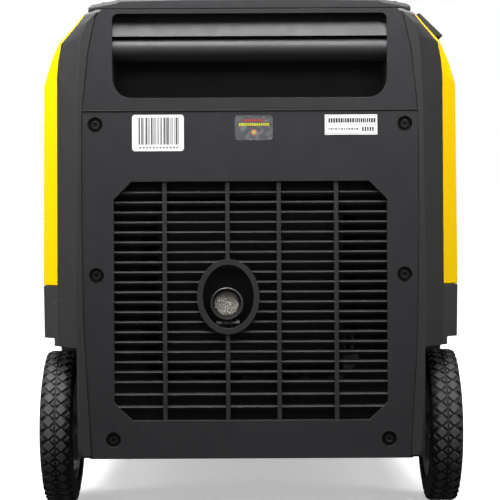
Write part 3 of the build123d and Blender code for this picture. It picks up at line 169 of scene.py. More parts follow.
class Graph:
    """A material's node tree with one Principled shader."""

    def __init__(self, name: str) -> None:
        """Makes an empty material.

        Args:
            name: The material's name.
        """
        self.material = bpy.data.materials.new(name)
        self.material.use_nodes = True
        self.tree = self.material.node_tree
        self.shader = next(n for n in self.tree.nodes if n.type == "BSDF_PRINCIPLED")
        self._place = self.node(TEXTURE).outputs["Object"]

    def node(self, kind: str, settings: dict | None = None, inputs: dict | None = None) -> bpy.types.Node:
        """Adds a node.

        Args:
            kind: The node's type.
            settings: Properties, set first.
            inputs: Values or links of its sockets, by name or number.

        Returns:
            The node.
        """
        made = self.tree.nodes.new(kind)
        for key, value in (settings or {}).items():
            setattr(made, key, value)
        for key, value in (inputs or {}).items():
            self.feed(made.inputs[key], value)
        return made

    def feed(self, socket: Socket, value: object) -> None:
        """Links a socket or sets its value.

        Args:
            socket: The input socket.
            value: A number, colour, vector, socket or Value.
        """
        if isinstance(value, Value):
            value = value.socket
        if isinstance(value, Socket):
            self.tree.links.new(value, socket)
        else:
            socket.default_value = value

    def place(self, stretch: Triple = (1, 1, 1), turn: Triple = (0, 0, 0),
              shift: Triple = (0, 0, 0)) -> Socket:
        """Object coordinates, stretched, turned or shifted.

        Args:
            stretch: Scale along each axis.
            turn: Turn about each axis.
            shift: Shift along each axis.

        Returns:
            The vector socket.
        """
        inputs = {"Vector": self._place, "Scale": stretch, "Rotation": turn, "Location": shift}
        return self.node("ShaderNodeMapping", None, inputs).outputs[0]

    def noise(self, size: float, detail: float = 3.0, place: Socket | None = None,
              rough: float = 0.5) -> Value:
        """Noise with features of about the given size.

        Args:
            size: Feature size in metres.
            detail: Octaves.
            place: Coordinates, or the plain object coordinates.
            rough: How strong the fine octaves are.

        Returns:
            A number around 0.5.
        """
        inputs = {"Vector": place or self._place, "Scale": 1 / size, "Detail": detail, "Roughness": rough}
        return Value(self, self.node("ShaderNodeTexNoise", None, inputs).outputs[0])

    def cells(self, size: float) -> Value:
        """Distance, in cells, to the middle of the nearest cell of a size in metres."""
        made = self.node("ShaderNodeTexVoronoi", None, {"Vector": self._place, "Scale": 1 / size})
        return Value(self, made.outputs["Distance"])

    def facing_up(self) -> Value:
        """How much the surface faces up, from -1 to 1."""
        made = self.node("ShaderNodeSeparateXYZ", None, {0: self.node(TEXTURE).outputs["Normal"]})
        return Value(self, made.outputs[2])

    def mix(self, mask: Value | float, first: object, second: object) -> Socket:
        """Mixes two colours.

        Args:
            mask: 0 gives the first and 1 the second.
            first: Colour or colour socket.
            second: Colour or colour socket.

        Returns:
            The mixed colour.
        """
        made = self.node("ShaderNodeMix", {"data_type": "RGBA"}, {0: mask, 6: first, 7: second})
        return made.outputs[2]

    def bump(self, height: Value, depth: float, strength: float = 1.0,
             under: Socket | None = None) -> Socket:
        """A bump of the given depth.

        Args:
            height: Height between 0 and 1.
            depth: Depth in metres.
            strength: Share of the effect.
            under: A normal to build on.

        Returns:
            The normal socket.
        """
        inputs = {"Height": height, "Distance": depth, "Strength": strength}
        if under is not None:
            inputs["Normal"] = under
        return self.node("ShaderNodeBump", None, inputs).outputs[0]

    def finish(self, **sockets: object) -> Material:
        """Feeds the shader.

        Args:
            sockets: Socket names, with underscores for spaces, and their values or links.

        Returns:
            The material.
        """
        for key, value in sockets.items():
            self.feed(self.shader.inputs[key.replace("_", " ")], value)
        return self.material


def shade(colour: Colour, share: float = 1.0) -> tuple[float, ...]:
    """A colour made lighter or darker, with full alpha."""
    return (colour[0] * share, colour[1] * share, colour[2] * share, 1.0)


# Finishes


@dataclass(frozen=True)
class MouldedPlastic:
    """Fine-grained moulded plastic with dust, faint scuffs and uneven gloss."""

    name: str
    colour: Colour
    roughness: float = 0.5
    grain: float = 0.9 * MM
    grain_depth: float = 0.05 * MM
    dust: float = 0.25
    scuffs: float = 0.35

    def make(self) -> Material:
        """Builds the material."""
        g = Graph(self.name)
        cloud = g.noise(90 * MM, 4.0)
        blotch = g.noise(14 * MM, 5.0)
        grain = g.noise(self.grain, 2.0, rough=0.6)
        speck = g.cells(7 * MM)
        dust = (1 - speck).above(0.94, 0.02) * g.noise(30 * MM).above(0.52, 0.06) * self.dust
        film = g.facing_up().above(0.6, 0.4) * blotch.above(0.25, 0.7) * (0.25 * self.dust)
        scratch = self._scratches(g)
        colour = g.mix(cloud, shade(self.colour, 0.86), shade(self.colour, 1.17))
        colour = g.mix(grain.above(0.62, 0.14) * 0.35, colour, shade(self.colour, 1.9))
        colour = g.mix(scratch * (0.45 * self.scuffs), colour, (0.30, 0.30, 0.30, 1))
        colour = g.mix(dust + film, colour, (0.36, 0.35, 0.33, 1))
        rough = self.roughness + (blotch - 0.5) * 0.22 + dust * 0.25 - scratch * 0.08
        normal = g.bump(grain, self.grain_depth, 0.8)
        normal = g.bump(cloud + blotch * 0.3, 0.25 * MM, 0.35, normal)
        return g.finish(Base_Color=colour, Roughness=rough, Normal=normal, Specular_IOR_Level=0.45)

    @staticmethod
    def _scratches(g: Graph) -> Value:
        """Sparse thin scuffs in two directions.

        Args:
            g: The material's graph.

        Returns:
            A mask of the scuffs.
        """
        marks = None
        for turn, stretch in ((0.5, 45.0), (-1.1, 60.0)):
            turned = {"Vector": g.place(turn=(0, turn, 0)), "Scale": (1.0, 1.0, stretch)}
            long = g.node("ShaderNodeMapping", None, turned).outputs[0]
            line = g.noise(60 * MM, 2.0, long).above(0.72, 0.02)
            marks = line if marks is None else marks + line
        return marks * g.noise(45 * MM).above(0.56, 0.05)


@dataclass(frozen=True)
class GlossPanel:
    """Smooth coloured panel with light orange peel, fine scratches and random darker patches."""

    name: str
    colour: Colour
    shadow: Colour
    roughness: float = 0.32
    coat: float = 0.35

    def make(self) -> Material:
        """Builds the material."""
        g = Graph(self.name)
        peel = g.noise(2.4 * MM, 2.0)
        cloud = g.noise(120 * MM, 4.0)
        fine = g.noise(9 * MM, 6.0, rough=0.7)
        long = g.place((1.0, 0.03, 1.0), (0.4, 0, 0))
        hair = g.noise(2.2 * MM, 2.0, long).above(0.74, 0.02) * g.noise(60 * MM).above(0.55, 0.05)
        colour = g.mix(cloud * 0.45, shade(self.colour), shade(self.shadow))
        colour = g.mix(fine.above(0.66, 0.06) * 0.12, colour, shade(self.shadow, 0.6))
        colour = g.mix(hair * 0.25, colour, (0.95, 0.88, 0.6, 1))
        rough = self.roughness + (cloud - 0.5) * 0.14 + hair * 0.2 + fine.above(0.6, 0.1) * 0.06
        normal = g.bump(peel, 0.02 * MM, 0.5)
        normal = g.bump(cloud, 0.5 * MM, 0.25, normal)
        return g.finish(Base_Color=colour, Roughness=rough, Normal=normal, Coat_Weight=self.coat,
                        Coat_Roughness=0.18, Specular_IOR_Level=0.06)


@dataclass(frozen=True)
class WorkedMetal:
    """Metal with brushing, stains and small pits."""

    name: str
    colour: Colour
    stain: Colour
    roughness: float = 0.35
    stained: float = 0.3
    brush: Triple = (1.0, 1.0, 1.0)
    metallic: float = 1.0

    def make(self) -> Material:
        """Builds the material."""
        g = Graph(self.name)
        line = g.noise(1.1 * MM, 3.0, g.place(self.brush))
        patch = g.noise(13 * MM, 6.0, rough=0.65)
        pit = g.cells(1.6 * MM)
        stain = patch.above(0.56, 0.10) * self.stained
        colour = g.mix(line, shade(self.colour, 0.82), shade(self.colour, 1.1))
        colour = g.mix(stain, colour, shade(self.stain))
        rough = self.roughness + (line - 0.5) * 0.25 + stain * 0.35
        normal = g.bump(line, 0.03 * MM, 0.6)
        normal = g.bump(pit.above(0.25, 0.2), 0.03 * MM, 0.4, normal)
        metal = self.metallic - stain * (0.7 * self.metallic)
        return g.finish(Base_Color=colour, Roughness=rough, Normal=normal, Metallic=metal)


@dataclass(frozen=True)
class CoatedMetal:
    """Powder coat or paint over metal, with a faint orange peel and chips."""

    name: str
    colour: Colour
    roughness: float = 0.45
    chips: float = 0.3

    def make(self) -> Material:
        """Builds the material."""
        g = Graph(self.name)
        peel = g.noise(1.5 * MM, 2.0)
        cloud = g.noise(40 * MM, 5.0)
        chip = g.noise(3.5 * MM, 4.0, rough=0.7).above(0.73, 0.02) * cloud.above(0.55, 0.04) * self.chips
        colour = g.mix(cloud, shade(self.colour, 0.8), shade(self.colour, 1.25))
        colour = g.mix(chip, colour, (0.30, 0.27, 0.24, 1))
        rough = self.roughness + (cloud - 0.5) * 0.2 + chip * 0.2
        normal = g.bump(peel - chip, 0.05 * MM, 0.7)
        return g.finish(Base_Color=colour, Roughness=rough, Normal=normal, Metallic=chip * 0.8)


@dataclass(frozen=True)
class WornRubber:
    """Rubber whose raised tread is paler than its grooves."""

    name: str
    colour: Colour
    worn: Colour
    radius: float = 0.0
    depth: float = 0.0
    centre: Triple = (0.0, 0.0, 0.0)

    def make(self) -> Material:
        """Builds the material."""
        g = Graph(self.name)
        crumb = g.noise(1.0 * MM, 4.0, rough=0.7)
        patch = g.noise(16 * MM, 5.0, rough=0.6)
        wear = patch.above(0.5, 0.2) * 0.3
        if self.radius:
            flat = g.place((0.0, 1.0, 1.0), (0, 0, 0), (0.0, -self.centre[1], -self.centre[2]))
            length = g.node("ShaderNodeVectorMath", {"operation": "LENGTH"}, {0: flat}).outputs["Value"]
            tread = Value(g, length).above(self.radius - self.depth * 0.35, self.depth * 0.3)
            wear = tread * (0.35 + patch * 0.65)
        colour = g.mix(patch, shade(self.colour, 0.75), shade(self.colour, 1.25))
        colour = g.mix(wear * (0.55 + crumb * 0.6), colour, shade(self.worn))
        rough = 0.72 + (crumb - 0.5) * 0.2
        normal = g.bump(crumb + patch * 0.5, 0.12 * MM, 0.7)
        return g.finish(Base_Color=colour, Roughness=rough, Normal=normal, Specular_IOR_Level=0.35)


@dataclass(frozen=True)
class PaperLabel:
    """Slightly glossy printed paper with faint soiling."""

    name: str
    colour: Colour
    roughness: float = 0.42

    def make(self) -> Material:
        """Builds the material."""
        g = Graph(self.name)
        soil = g.noise(11 * MM, 5.0)
        fibre = g.noise(0.5 * MM, 2.0)
        colour = g.mix(soil.above(0.55, 0.2) * 0.25, shade(self.colour), shade(self.colour, 0.8))
        colour = g.mix(fibre.above(0.6, 0.2) * 0.08, colour, shade(self.colour, 0.7))
        rough = self.roughness + (soil - 0.5) * 0.15
        return g.finish(Base_Color=colour, Roughness=rough, Normal=g.bump(soil, 0.15 * MM, 0.4))


@dataclass(frozen=True)
class ClearFilm:
    """Thin crinkled clear film."""

    name: str
    colour: Colour
    alpha: float = 0.3

    def make(self) -> Material:
        """Builds the material."""
        g = Graph(self.name)
        crease = g.noise(5 * MM, 4.0, rough=0.65)
        alpha = self.alpha + crease.above(0.56, 0.06) * 0.22
        colour = g.mix(crease, shade(self.colour, 0.8), shade(self.colour, 1.2))
        rough = 0.22 + crease * 0.15
        return g.finish(Base_Color=colour, Roughness=rough, Alpha=alpha, Normal=g.bump(crease, 0.5 * MM, 0.8),
                        Coat_Weight=0.4)


@dataclass(frozen=True)
class TintedGlass:
    """Dark window with a soft inner glow of smudges."""

    name: str
    colour: Colour
    emission: float = 0.0

    def make(self) -> Material:
        """Builds the material."""
        g = Graph(self.name)
        smudge = g.noise(18 * MM, 4.0)
        colour = g.mix(smudge, shade(self.colour, 0.8), shade(self.colour, 1.3))
        rough = 0.08 + smudge.above(0.55, 0.12) * 0.14
        return g.finish(Base_Color=colour, Roughness=rough, Coat_Weight=0.7,
                        Normal=g.bump(smudge, 0.05 * MM, 0.3), Emission_Color=shade(self.colour),
                        Emission_Strength=self.emission)


FINISHES = (
    MouldedPlastic("panel_black", (0.0185, 0.0185, 0.0208), 0.47),
    MouldedPlastic("hoop_black", (0.025, 0.0248, 0.0245), 0.44),
    MouldedPlastic("gloss_black", (0.020, 0.020, 0.022), 0.28, grain_depth=0.01 * MM, scuffs=0.2),
    MouldedPlastic("lever_grey", (0.22, 0.22, 0.23), 0.45, scuffs=0.2),
    MouldedPlastic("button_green", (0.03, 0.24, 0.06), 0.35, grain_depth=0.01 * MM),
    MouldedPlastic("signal_red", (0.45, 0.02, 0.015), 0.35, grain_depth=0.01 * MM),
    MouldedPlastic("print_white", (0.62, 0.62, 0.60), 0.5, grain_depth=0.01 * MM, scuffs=0.1),
    GlossPanel("side_yellow", (0.96, 0.64, 0.0), (0.92, 0.50, 0.0), 0.45, 0.0),
    CoatedMetal("dark_steel", (0.028, 0.028, 0.030), 0.42),
    CoatedMetal("black_screw", (0.012, 0.012, 0.013), 0.30, 0.5),
    CoatedMetal("tank_paint", (0.022, 0.022, 0.022), 0.4),
    CoatedMetal("rim_metal", (0.34, 0.34, 0.35), 0.36, 0.5),
    WorkedMetal("bright_steel", (0.62, 0.61, 0.59), (0.22, 0.17, 0.13), 0.28, 0.35, (1, 14, 14)),
    WorkedMetal("cast_alloy", (0.48, 0.48, 0.47), (0.20, 0.19, 0.17), 0.52, 0.5),
    WorkedMetal("hot_steel", (0.34, 0.29, 0.25), (0.10, 0.065, 0.045), 0.48, 0.8),
    WorkedMetal("arrester_mesh", (0.74, 0.70, 0.64), (0.26, 0.22, 0.18), 0.44, 0.35),
    CoatedMetal("soot", (0.016, 0.015, 0.014), 0.6, 0.2),
    CoatedMetal("screen_back", (0.15, 0.12, 0.095), 0.75, 0.2),
    WornRubber("rubber", (0.018, 0.018, 0.018), (0.06, 0.06, 0.06)),
    PaperLabel("label_white", (0.86, 0.86, 0.86)),
    PaperLabel("label_ink", (0.012, 0.012, 0.014)),
    PaperLabel("label_grey", (0.16, 0.16, 0.17)),
    ClearFilm("clear_film", (0.30, 0.31, 0.32), 0.26),
    ClearFilm("film_red", (0.42, 0.05, 0.06), 0.85),
    ClearFilm("film_gold", (0.55, 0.50, 0.05), 0.85),
    TintedGlass("lens", (0.035, 0.050, 0.055)),
    TintedGlass("lamp_green", (0.03, 0.30, 0.06), 0.15),
    TintedGlass("segment_amber", (0.55, 0.24, 0.03), 0.4),
    TintedGlass("lamp_red", (0.40, 0.02, 0.015), 0.1),
    PaperLabel("ceramic_white", (0.80, 0.80, 0.77), 0.2),
)
SHELF: dict[str, Material] = {}


def finish_of(name: str) -> Material:
    """The material of that name, made once.

    Args:
        name: A finish's name.

    Returns:
        The material.
    """
    if name not in SHELF:
        SHELF[name] = next(f for f in FINISHES if f.name == name).make()
    return SHELF[name]


# Workshop: mesh operators, as by hand


def deselect() -> None:
    """Leaves nothing selected and nothing in edit mode."""
    if bpy.context.object and bpy.context.object.mode != "OBJECT":
        bpy.ops.object.mode_set(mode="OBJECT")
    bpy.ops.object.select_all(action="DESELECT")


def pick(*pieces: Piece) -> None:
    """Selects only these pieces, the first one active."""
    deselect()
    for piece in pieces:
        piece.select_set(True)
    bpy.context.view_layer.objects.active = pieces[0]


def settle(piece: Piece) -> None:
    """Moves the place, turn and size of a piece into its mesh."""
    pick(piece)
    bpy.ops.object.transform_apply(location=True, rotation=True, scale=True)


@contextmanager
def editing(piece: Piece) -> Iterator[bmesh.types.BMesh]:
    """Opens a piece in edit mode with nothing selected.

    Args:
        piece: The piece.

    Yields:
        Its mesh, for selecting.
    """
    pick(piece)
    bpy.ops.object.mode_set(mode="EDIT")
    bpy.ops.mesh.select_all(action="DESELECT")
    yield bmesh.from_edit_mesh(piece.data)
    bpy.ops.object.mode_set(mode="OBJECT")


def select_corners(piece: Piece, mesh: bmesh.types.BMesh, test: Callable[[Vector], bool]) -> None:
    """Selects the corners that pass a test.

    Args:
        piece: The piece in edit mode.
        mesh: Its edit mesh.
        test: Gets a corner's place.
    """
    bpy.ops.mesh.select_mode(type="VERT")
    for corner in mesh.verts:
        corner.select = test(corner.co)
    bmesh.update_edit_mesh(piece.data)


def recess(piece: Piece, facing: Vector, margin: float, depth: float) -> Piece:
    """Sinks the flat faces that look one way, inside a margin.

    Args:
        piece: The piece.
        facing: The way that the faces look.
        margin: Width of the rim that stays.
        depth: How far the inside is pushed in.

    Returns:
        The same piece.
    """
    with editing(piece) as mesh:
        bpy.ops.mesh.select_mode(type="FACE")
        for face in mesh.faces:
            face.select = face.normal.dot(facing) > 0.9
        mesh.select_flush(True)
        bmesh.update_edit_mesh(piece.data)
        bpy.ops.mesh.inset(thickness=margin)
        bpy.ops.mesh.extrude_region_move(TRANSFORM_OT_translate={"value": tuple(-facing * depth)})
    return piece


def torus(name: str, middle: Vector, major: float, minor: float, axis: Axis,
          steps: tuple[int, int]) -> Piece:
    """A ring primitive, settled.

    Args:
        name: The piece's name.
        middle: Its centre.
        major: Radius of the ring.
        minor: Radius of its section.
        axis: The ring's axis.
        steps: Facets around the ring and around its section.

    Returns:
        The piece.
    """
    deselect()
    bpy.ops.mesh.primitive_torus_add(major_radius=major, minor_radius=minor, major_segments=steps[0],
                                     minor_segments=steps[1], location=middle, rotation=axis.value)
    piece = bpy.context.object
    piece.name = name
    settle(piece)
    return piece


def cube(name: str, low: Iterable[float], high: Iterable[float]) -> Piece:
    """A box primitive between two corners, settled.

    Args:
        name: The piece's name.
        low: Its lowest corner.
        high: Its highest corner.

    Returns:
        The piece.
    """
    low, high = Vector(low), Vector(high)
    deselect()
    bpy.ops.mesh.primitive_cube_add(size=1, location=(low + high) / 2)
    piece = bpy.context.object
    piece.name = name
    piece.scale = high - low
    settle(piece)
    return piece


def drum(name: str, radius: float, start: Iterable[float], length: float, axis: Axis,
         sides: int = 48) -> Piece:
    """A cylinder primitive from a start point along an axis, settled.

    Args:
        name: The piece's name.
        radius: Radius.
        start: Middle of the low end.
        length: Length along the axis.
        axis: Its direction.
        sides: Facets around.

    Returns:
        The piece.
    """
    deselect()
    bpy.ops.mesh.primitive_cylinder_add(vertices=sides, radius=radius, depth=length, rotation=axis.value,
                                        location=Vector(start) + axis.along * length / 2)
    piece = bpy.context.object
    piece.name = name
    settle(piece)
    return piece


def plate(name: str, middle: Vector, size: Triple, round_by: float, axis: Axis,
          edge: float = 0.05 * MM) -> Piece:
    """A thin plate with rounded corners, square to an axis.

    Args:
        name: The piece's name.
        middle: Its centre.
        size: Its full size.
        round_by: Corner radius.
        axis: The direction of its thickness.
        edge: Rounding of its rims.

    Returns:
        The piece.
    """
    half = Vector(size) / 2
    piece = cube(name, middle - half, middle + half)
    if round_by:
        with editing(piece) as mesh:
            bpy.ops.mesh.select_mode(type="EDGE")
            for line in mesh.edges:
                run = line.verts[1].co - line.verts[0].co
                line.select = abs(run.dot(axis.along)) > 0.9 * run.length
            bmesh.update_edit_mesh(piece.data)
            bpy.ops.mesh.bevel(offset=round_by, segments=6, affect="EDGES")
    return bevel(piece, edge, 1, 50)


def bevel(piece: Piece, width: float, segments: int = 2, angle: float = 28.0) -> Piece:
    """Rounds the edges that are sharper than an angle, then shades smoothly.

    Args:
        piece: The piece.
        width: Bevel width.
        segments: Steps in the rounding.
        angle: Least angle in degrees.

    Returns:
        The same piece.
    """
    pick(piece)
    tool = piece.modifiers.new("bevel", "BEVEL")
    tool.width = width
    tool.segments = segments
    tool.limit_method = "ANGLE"
    tool.angle_limit = math.radians(angle)
    bpy.ops.object.modifier_apply(modifier=tool.name)
    bpy.ops.object.shade_smooth_by_angle(angle=SMOOTH_ANGLE)
    even = piece.modifiers.new("even", "WEIGHTED_NORMAL")
    even.keep_sharp = True
    bpy.ops.object.modifier_apply(modifier=even.name)
    return piece


def join(name: str, pieces: list[Piece]) -> Piece:
    """Joins pieces into one object.

    Args:
        name: The new name.
        pieces: What is joined, the first of them kept.

    Returns:
        The joined piece.
    """
    pick(*pieces)
    if len(pieces) > 1:
        bpy.ops.object.join()
    piece = bpy.context.object
    piece.name = name
    return piece


def duplicate(piece: Piece, matrix: Matrix) -> Piece:
    """A copy with its own mesh, moved by a matrix.

    Args:
        piece: What is copied.
        matrix: The move, without mirroring.

    Returns:
        The copy.
    """
    twin = piece.copy()
    twin.data = piece.data.copy()
    bpy.context.scene.collection.objects.link(twin)
    twin.data.transform(matrix)
    return twin


def paint(piece: Piece, finish: str) -> Piece:
    """Gives a whole piece one finish.

    Args:
        piece: The piece.
        finish: The finish's name.

    Returns:
        The same piece.
    """
    piece.data.materials.clear()
    piece.data.materials.append(finish_of(finish))
    return piece


def place_on(piece: Piece, body: str, slot: str, *replaced: str) -> Piece:
    """Hands a finished piece over: its body and the nodes that it stands for.

    Args:
        piece: The piece.
        body: The CAD body that it rides on.
        slot: The record's material slot; not used.
        replaced: CAD nodes that it stands for.

    Returns:
        The same piece.
    """
    settle(piece)
    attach(piece, body)
    if replaced:
        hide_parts(*replaced)
    LOG.info("%s: %d faces on %s", piece.name, len(piece.data.polygons), body)
    return piece


def cad_copy(node: str, name: str, width: float, segments: int = 2, angle: float = 28.0) -> Piece:
    """A merged copy of a CAD node with its edges rounded.

    Args:
        node: The CAD node.
        name: The copy's name.
        width: Bevel width.
        segments: Steps in the rounding.
        angle: Least angle in degrees.

    Returns:
        The copy.
    """
    piece = bpy.data.objects.new(name, NODES[node].data.copy())
    bpy.context.scene.collection.objects.link(piece)
    with editing(piece):
        bpy.ops.mesh.select_all(action="SELECT")
        bpy.ops.mesh.remove_doubles(threshold=MERGE_GAP)
        bpy.ops.mesh.dissolve_limited(angle_limit=FLAT_ANGLE)
    bpy.ops.mesh.customdata_custom_splitnormals_clear()
    return bevel(piece, width, segments, angle)


def span(node: str) -> tuple[Vector, Vector]:
    """Lowest and highest corners of a CAD node."""
    low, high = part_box(node)
    return Vector(low), Vector(high)


def body_of(node: str) -> str:
    """The body that a CAD node rides on."""
    return NODES[node]["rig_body"]


def record_slots() -> dict[str, str]:
    """The material slot of every node in the record."""
    return {row["node"]: row["material_slot"] for row in frame["record"]["subparts"]}


# Studio


@dataclass
class Studio:
    """Pale floor, soft lights and the camera in front of the exhaust end."""

    distance: float = 1650 * MM
    eye_height: float = 265.6 * MM
    lens: float = 118.8
    roll: float = math.radians(0.28)
    side_shift: float = -0.001
    floor_size: float = 40.0
    floor_glow: float = 0.45
    broad_power: float = 2.5
    broad_angle: float = math.radians(60)
    broad_lean: float = math.radians(4)
    fill: float = 0.07
    boxes: tuple[tuple[str, Triple, Pair, float, Triple], ...] = (
        ("key", (-0.15, -0.64, 1.12), (1.5, 0.35), 27, (0, -0.3, 0.50)),
        ("low", (0.0, -2.4, 0.9), (2.0, 0.5), 2, (0, -0.3, 0.45)),
        ("left", (-2.0, -0.75, 0.8), (1.0, 1.4), 23, (0, 0.1, 0.3)),
        ("right", (2.0, -0.75, 0.8), (1.0, 1.4), 17, (0, 0.1, 0.3)),
        ("behind", (0.0, 2.2, 1.6), (2.2, 1.2), 14, (0, 0, 0.3)),
    )

    def build(self) -> None:
        """Makes everything in the studio."""
        self._camera()
        self._floor()
        self._dome()
        self._lights()
        self._surround()

    def _camera(self) -> None:
        """Sets up the camera, level, at the exhaust end."""
        low, _ = CAD_BOX
        data = bpy.data.cameras.new("camera")
        data.lens = self.lens
        data.shift_x = self.side_shift
        data.clip_end = 100
        camera = bpy.data.objects.new("camera", data)
        bpy.context.scene.collection.objects.link(camera)
        camera.location = (0, low[1] - self.distance, self.eye_height)
        camera.rotation_euler = (math.pi / 2, self.roll, 0)
        bpy.context.scene.camera = camera

    def _floor(self) -> None:
        """A large pale floor that throws no light back."""
        deselect()
        bpy.ops.mesh.primitive_plane_add(size=self.floor_size)
        floor = bpy.context.object
        floor.name = "floor"
        g = Graph("floor_paint")
        cloud = g.noise(0.5, 3.0)
        pale = g.mix(cloud, (0.90, 0.90, 0.90, 1), (0.94, 0.94, 0.94, 1))
        floor.data.materials.append(g.finish(Base_Color=pale, Roughness=0.7 + cloud * 0.1,
                                             Specular_IOR_Level=0.1, Emission_Color=(1, 1, 1, 1),
                                             Emission_Strength=self.floor_glow))
        self._camera_only(floor)

    def _dome(self) -> None:
        """A plain white dome around the set."""
        deselect()
        bpy.ops.mesh.primitive_uv_sphere_add(segments=48, ring_count=24, radius=self.floor_size / 2)
        dome = bpy.context.object
        dome.name = "dome"
        g = Graph("dome_paint")
        glow = g.mix(g.noise(4.0), (0.99, 0.99, 0.99, 1), (1, 1, 1, 1))
        dome.data.materials.append(g.finish(Base_Color=(0, 0, 0, 1), Specular_IOR_Level=0.0,
                                            Emission_Color=glow, Emission_Strength=1.0))
        dome.visible_shadow = False
        self._camera_only(dome)

    @staticmethod
    def _camera_only(piece: Piece) -> None:
        """Keeps a piece out of the light that reaches the object.

        Args:
            piece: The floor or the dome.
        """
        piece.visible_diffuse = False
        piece.visible_glossy = False

    def _lights(self) -> None:
        """A broad high light, a near soft box over the exhaust end and dim side boxes."""
        broad = self._light("broad", "SUN", self.broad_power)
        broad.data.angle = self.broad_angle
        broad.rotation_euler = (-self.broad_lean, self.broad_lean, 0)
        for name, place, size, power, aim in self.boxes:
            box = self._light(name, "AREA", power)
            box.data.shape = "RECTANGLE"
            box.data.size, box.data.size_y = size
            box.location = place
            box.rotation_euler = (Vector(aim) - Vector(place)).to_track_quat("-Z", "Y").to_euler()

    @staticmethod
    def _light(name: str, kind: str, power: float) -> Piece:
        """A new light.

        Args:
            name: Its name.
            kind: Its Blender type.
            power: Its power in watts, or its strength for a sun.

        Returns:
            The light.
        """
        data = bpy.data.lights.new(name, kind)
        data.energy = power
        light = bpy.data.objects.new(name, data)
        bpy.context.scene.collection.objects.link(light)
        return light

    def _surround(self) -> None:
        """Dim neutral surroundings and a plain colour transform."""
        world = bpy.data.worlds.new("surround")
        world.use_nodes = True
        back = world.node_tree.nodes["Background"]
        back.inputs[0].default_value = (1.0, 1.0, 1.0, 1)
        back.inputs[1].default_value = self.fill
        bpy.context.scene.world = world
        bpy.context.scene.view_settings.view_transform = "Standard"


# Carried-over CAD


@dataclass
class Shells:
    """The moulded shells, as rounded copies of their CAD nodes."""

    lift_offset: float = 11.4 * MM
    lift_length: float = 81.2 * MM
    lift_height: float = 25.5 * MM
    rounded: dict[str, tuple[str, float]] = field(default_factory=lambda: {
        "rear_hoop": ("hoop_black", 1.6), "front_hoop": ("hoop_black", 1.6),
        "rear_handle_cover": ("panel_black", 1.6), "front_handle_cover": ("panel_black", 1.6),
        "left_side_panel": ("side_yellow", 1.0),
        "right_side_panel": ("side_yellow", 1.0), "service_door": ("side_yellow", 1.0),
        "left_sill": ("hoop_black", 1.4), "right_sill": ("hoop_black", 1.4), "top_cover": ("hoop_black", 1.2),
        "rear_panel": ("panel_black", 0.5), "front_panel": ("panel_black", 0.9),
        "tow_grip": ("panel_black", 2.0), "tow_arms": ("dark_steel", 1.5), "grip_bars": ("panel_black", 1.0),
    })

    def build(self) -> None:
        """Makes every rounded copy."""
        for node, (finish, width) in self.rounded.items():
            piece = paint(cad_copy(node, f"{node}_shell", width * MM, 3), finish)
            if node == "service_door":
                self._darken_lift(piece)
            place_on(piece, body_of(node), finish, node)

    def _darken_lift(self, door: Piece) -> None:
        """Gives the finger lift the hoop's dark finish.

        Args:
            door: The service door, painted.
        """
        low, high = span("service_door")
        start = low.y + self.lift_offset
        end = start + self.lift_length
        base = high.z - self.lift_height
        door.data.materials.append(finish_of("hoop_black"))
        for face in door.data.polygons:
            corners = [door.data.vertices[i].co for i in face.vertices]
            if all(start < c.y < end and c.z > base for c in corners):
                face.material_index = 1


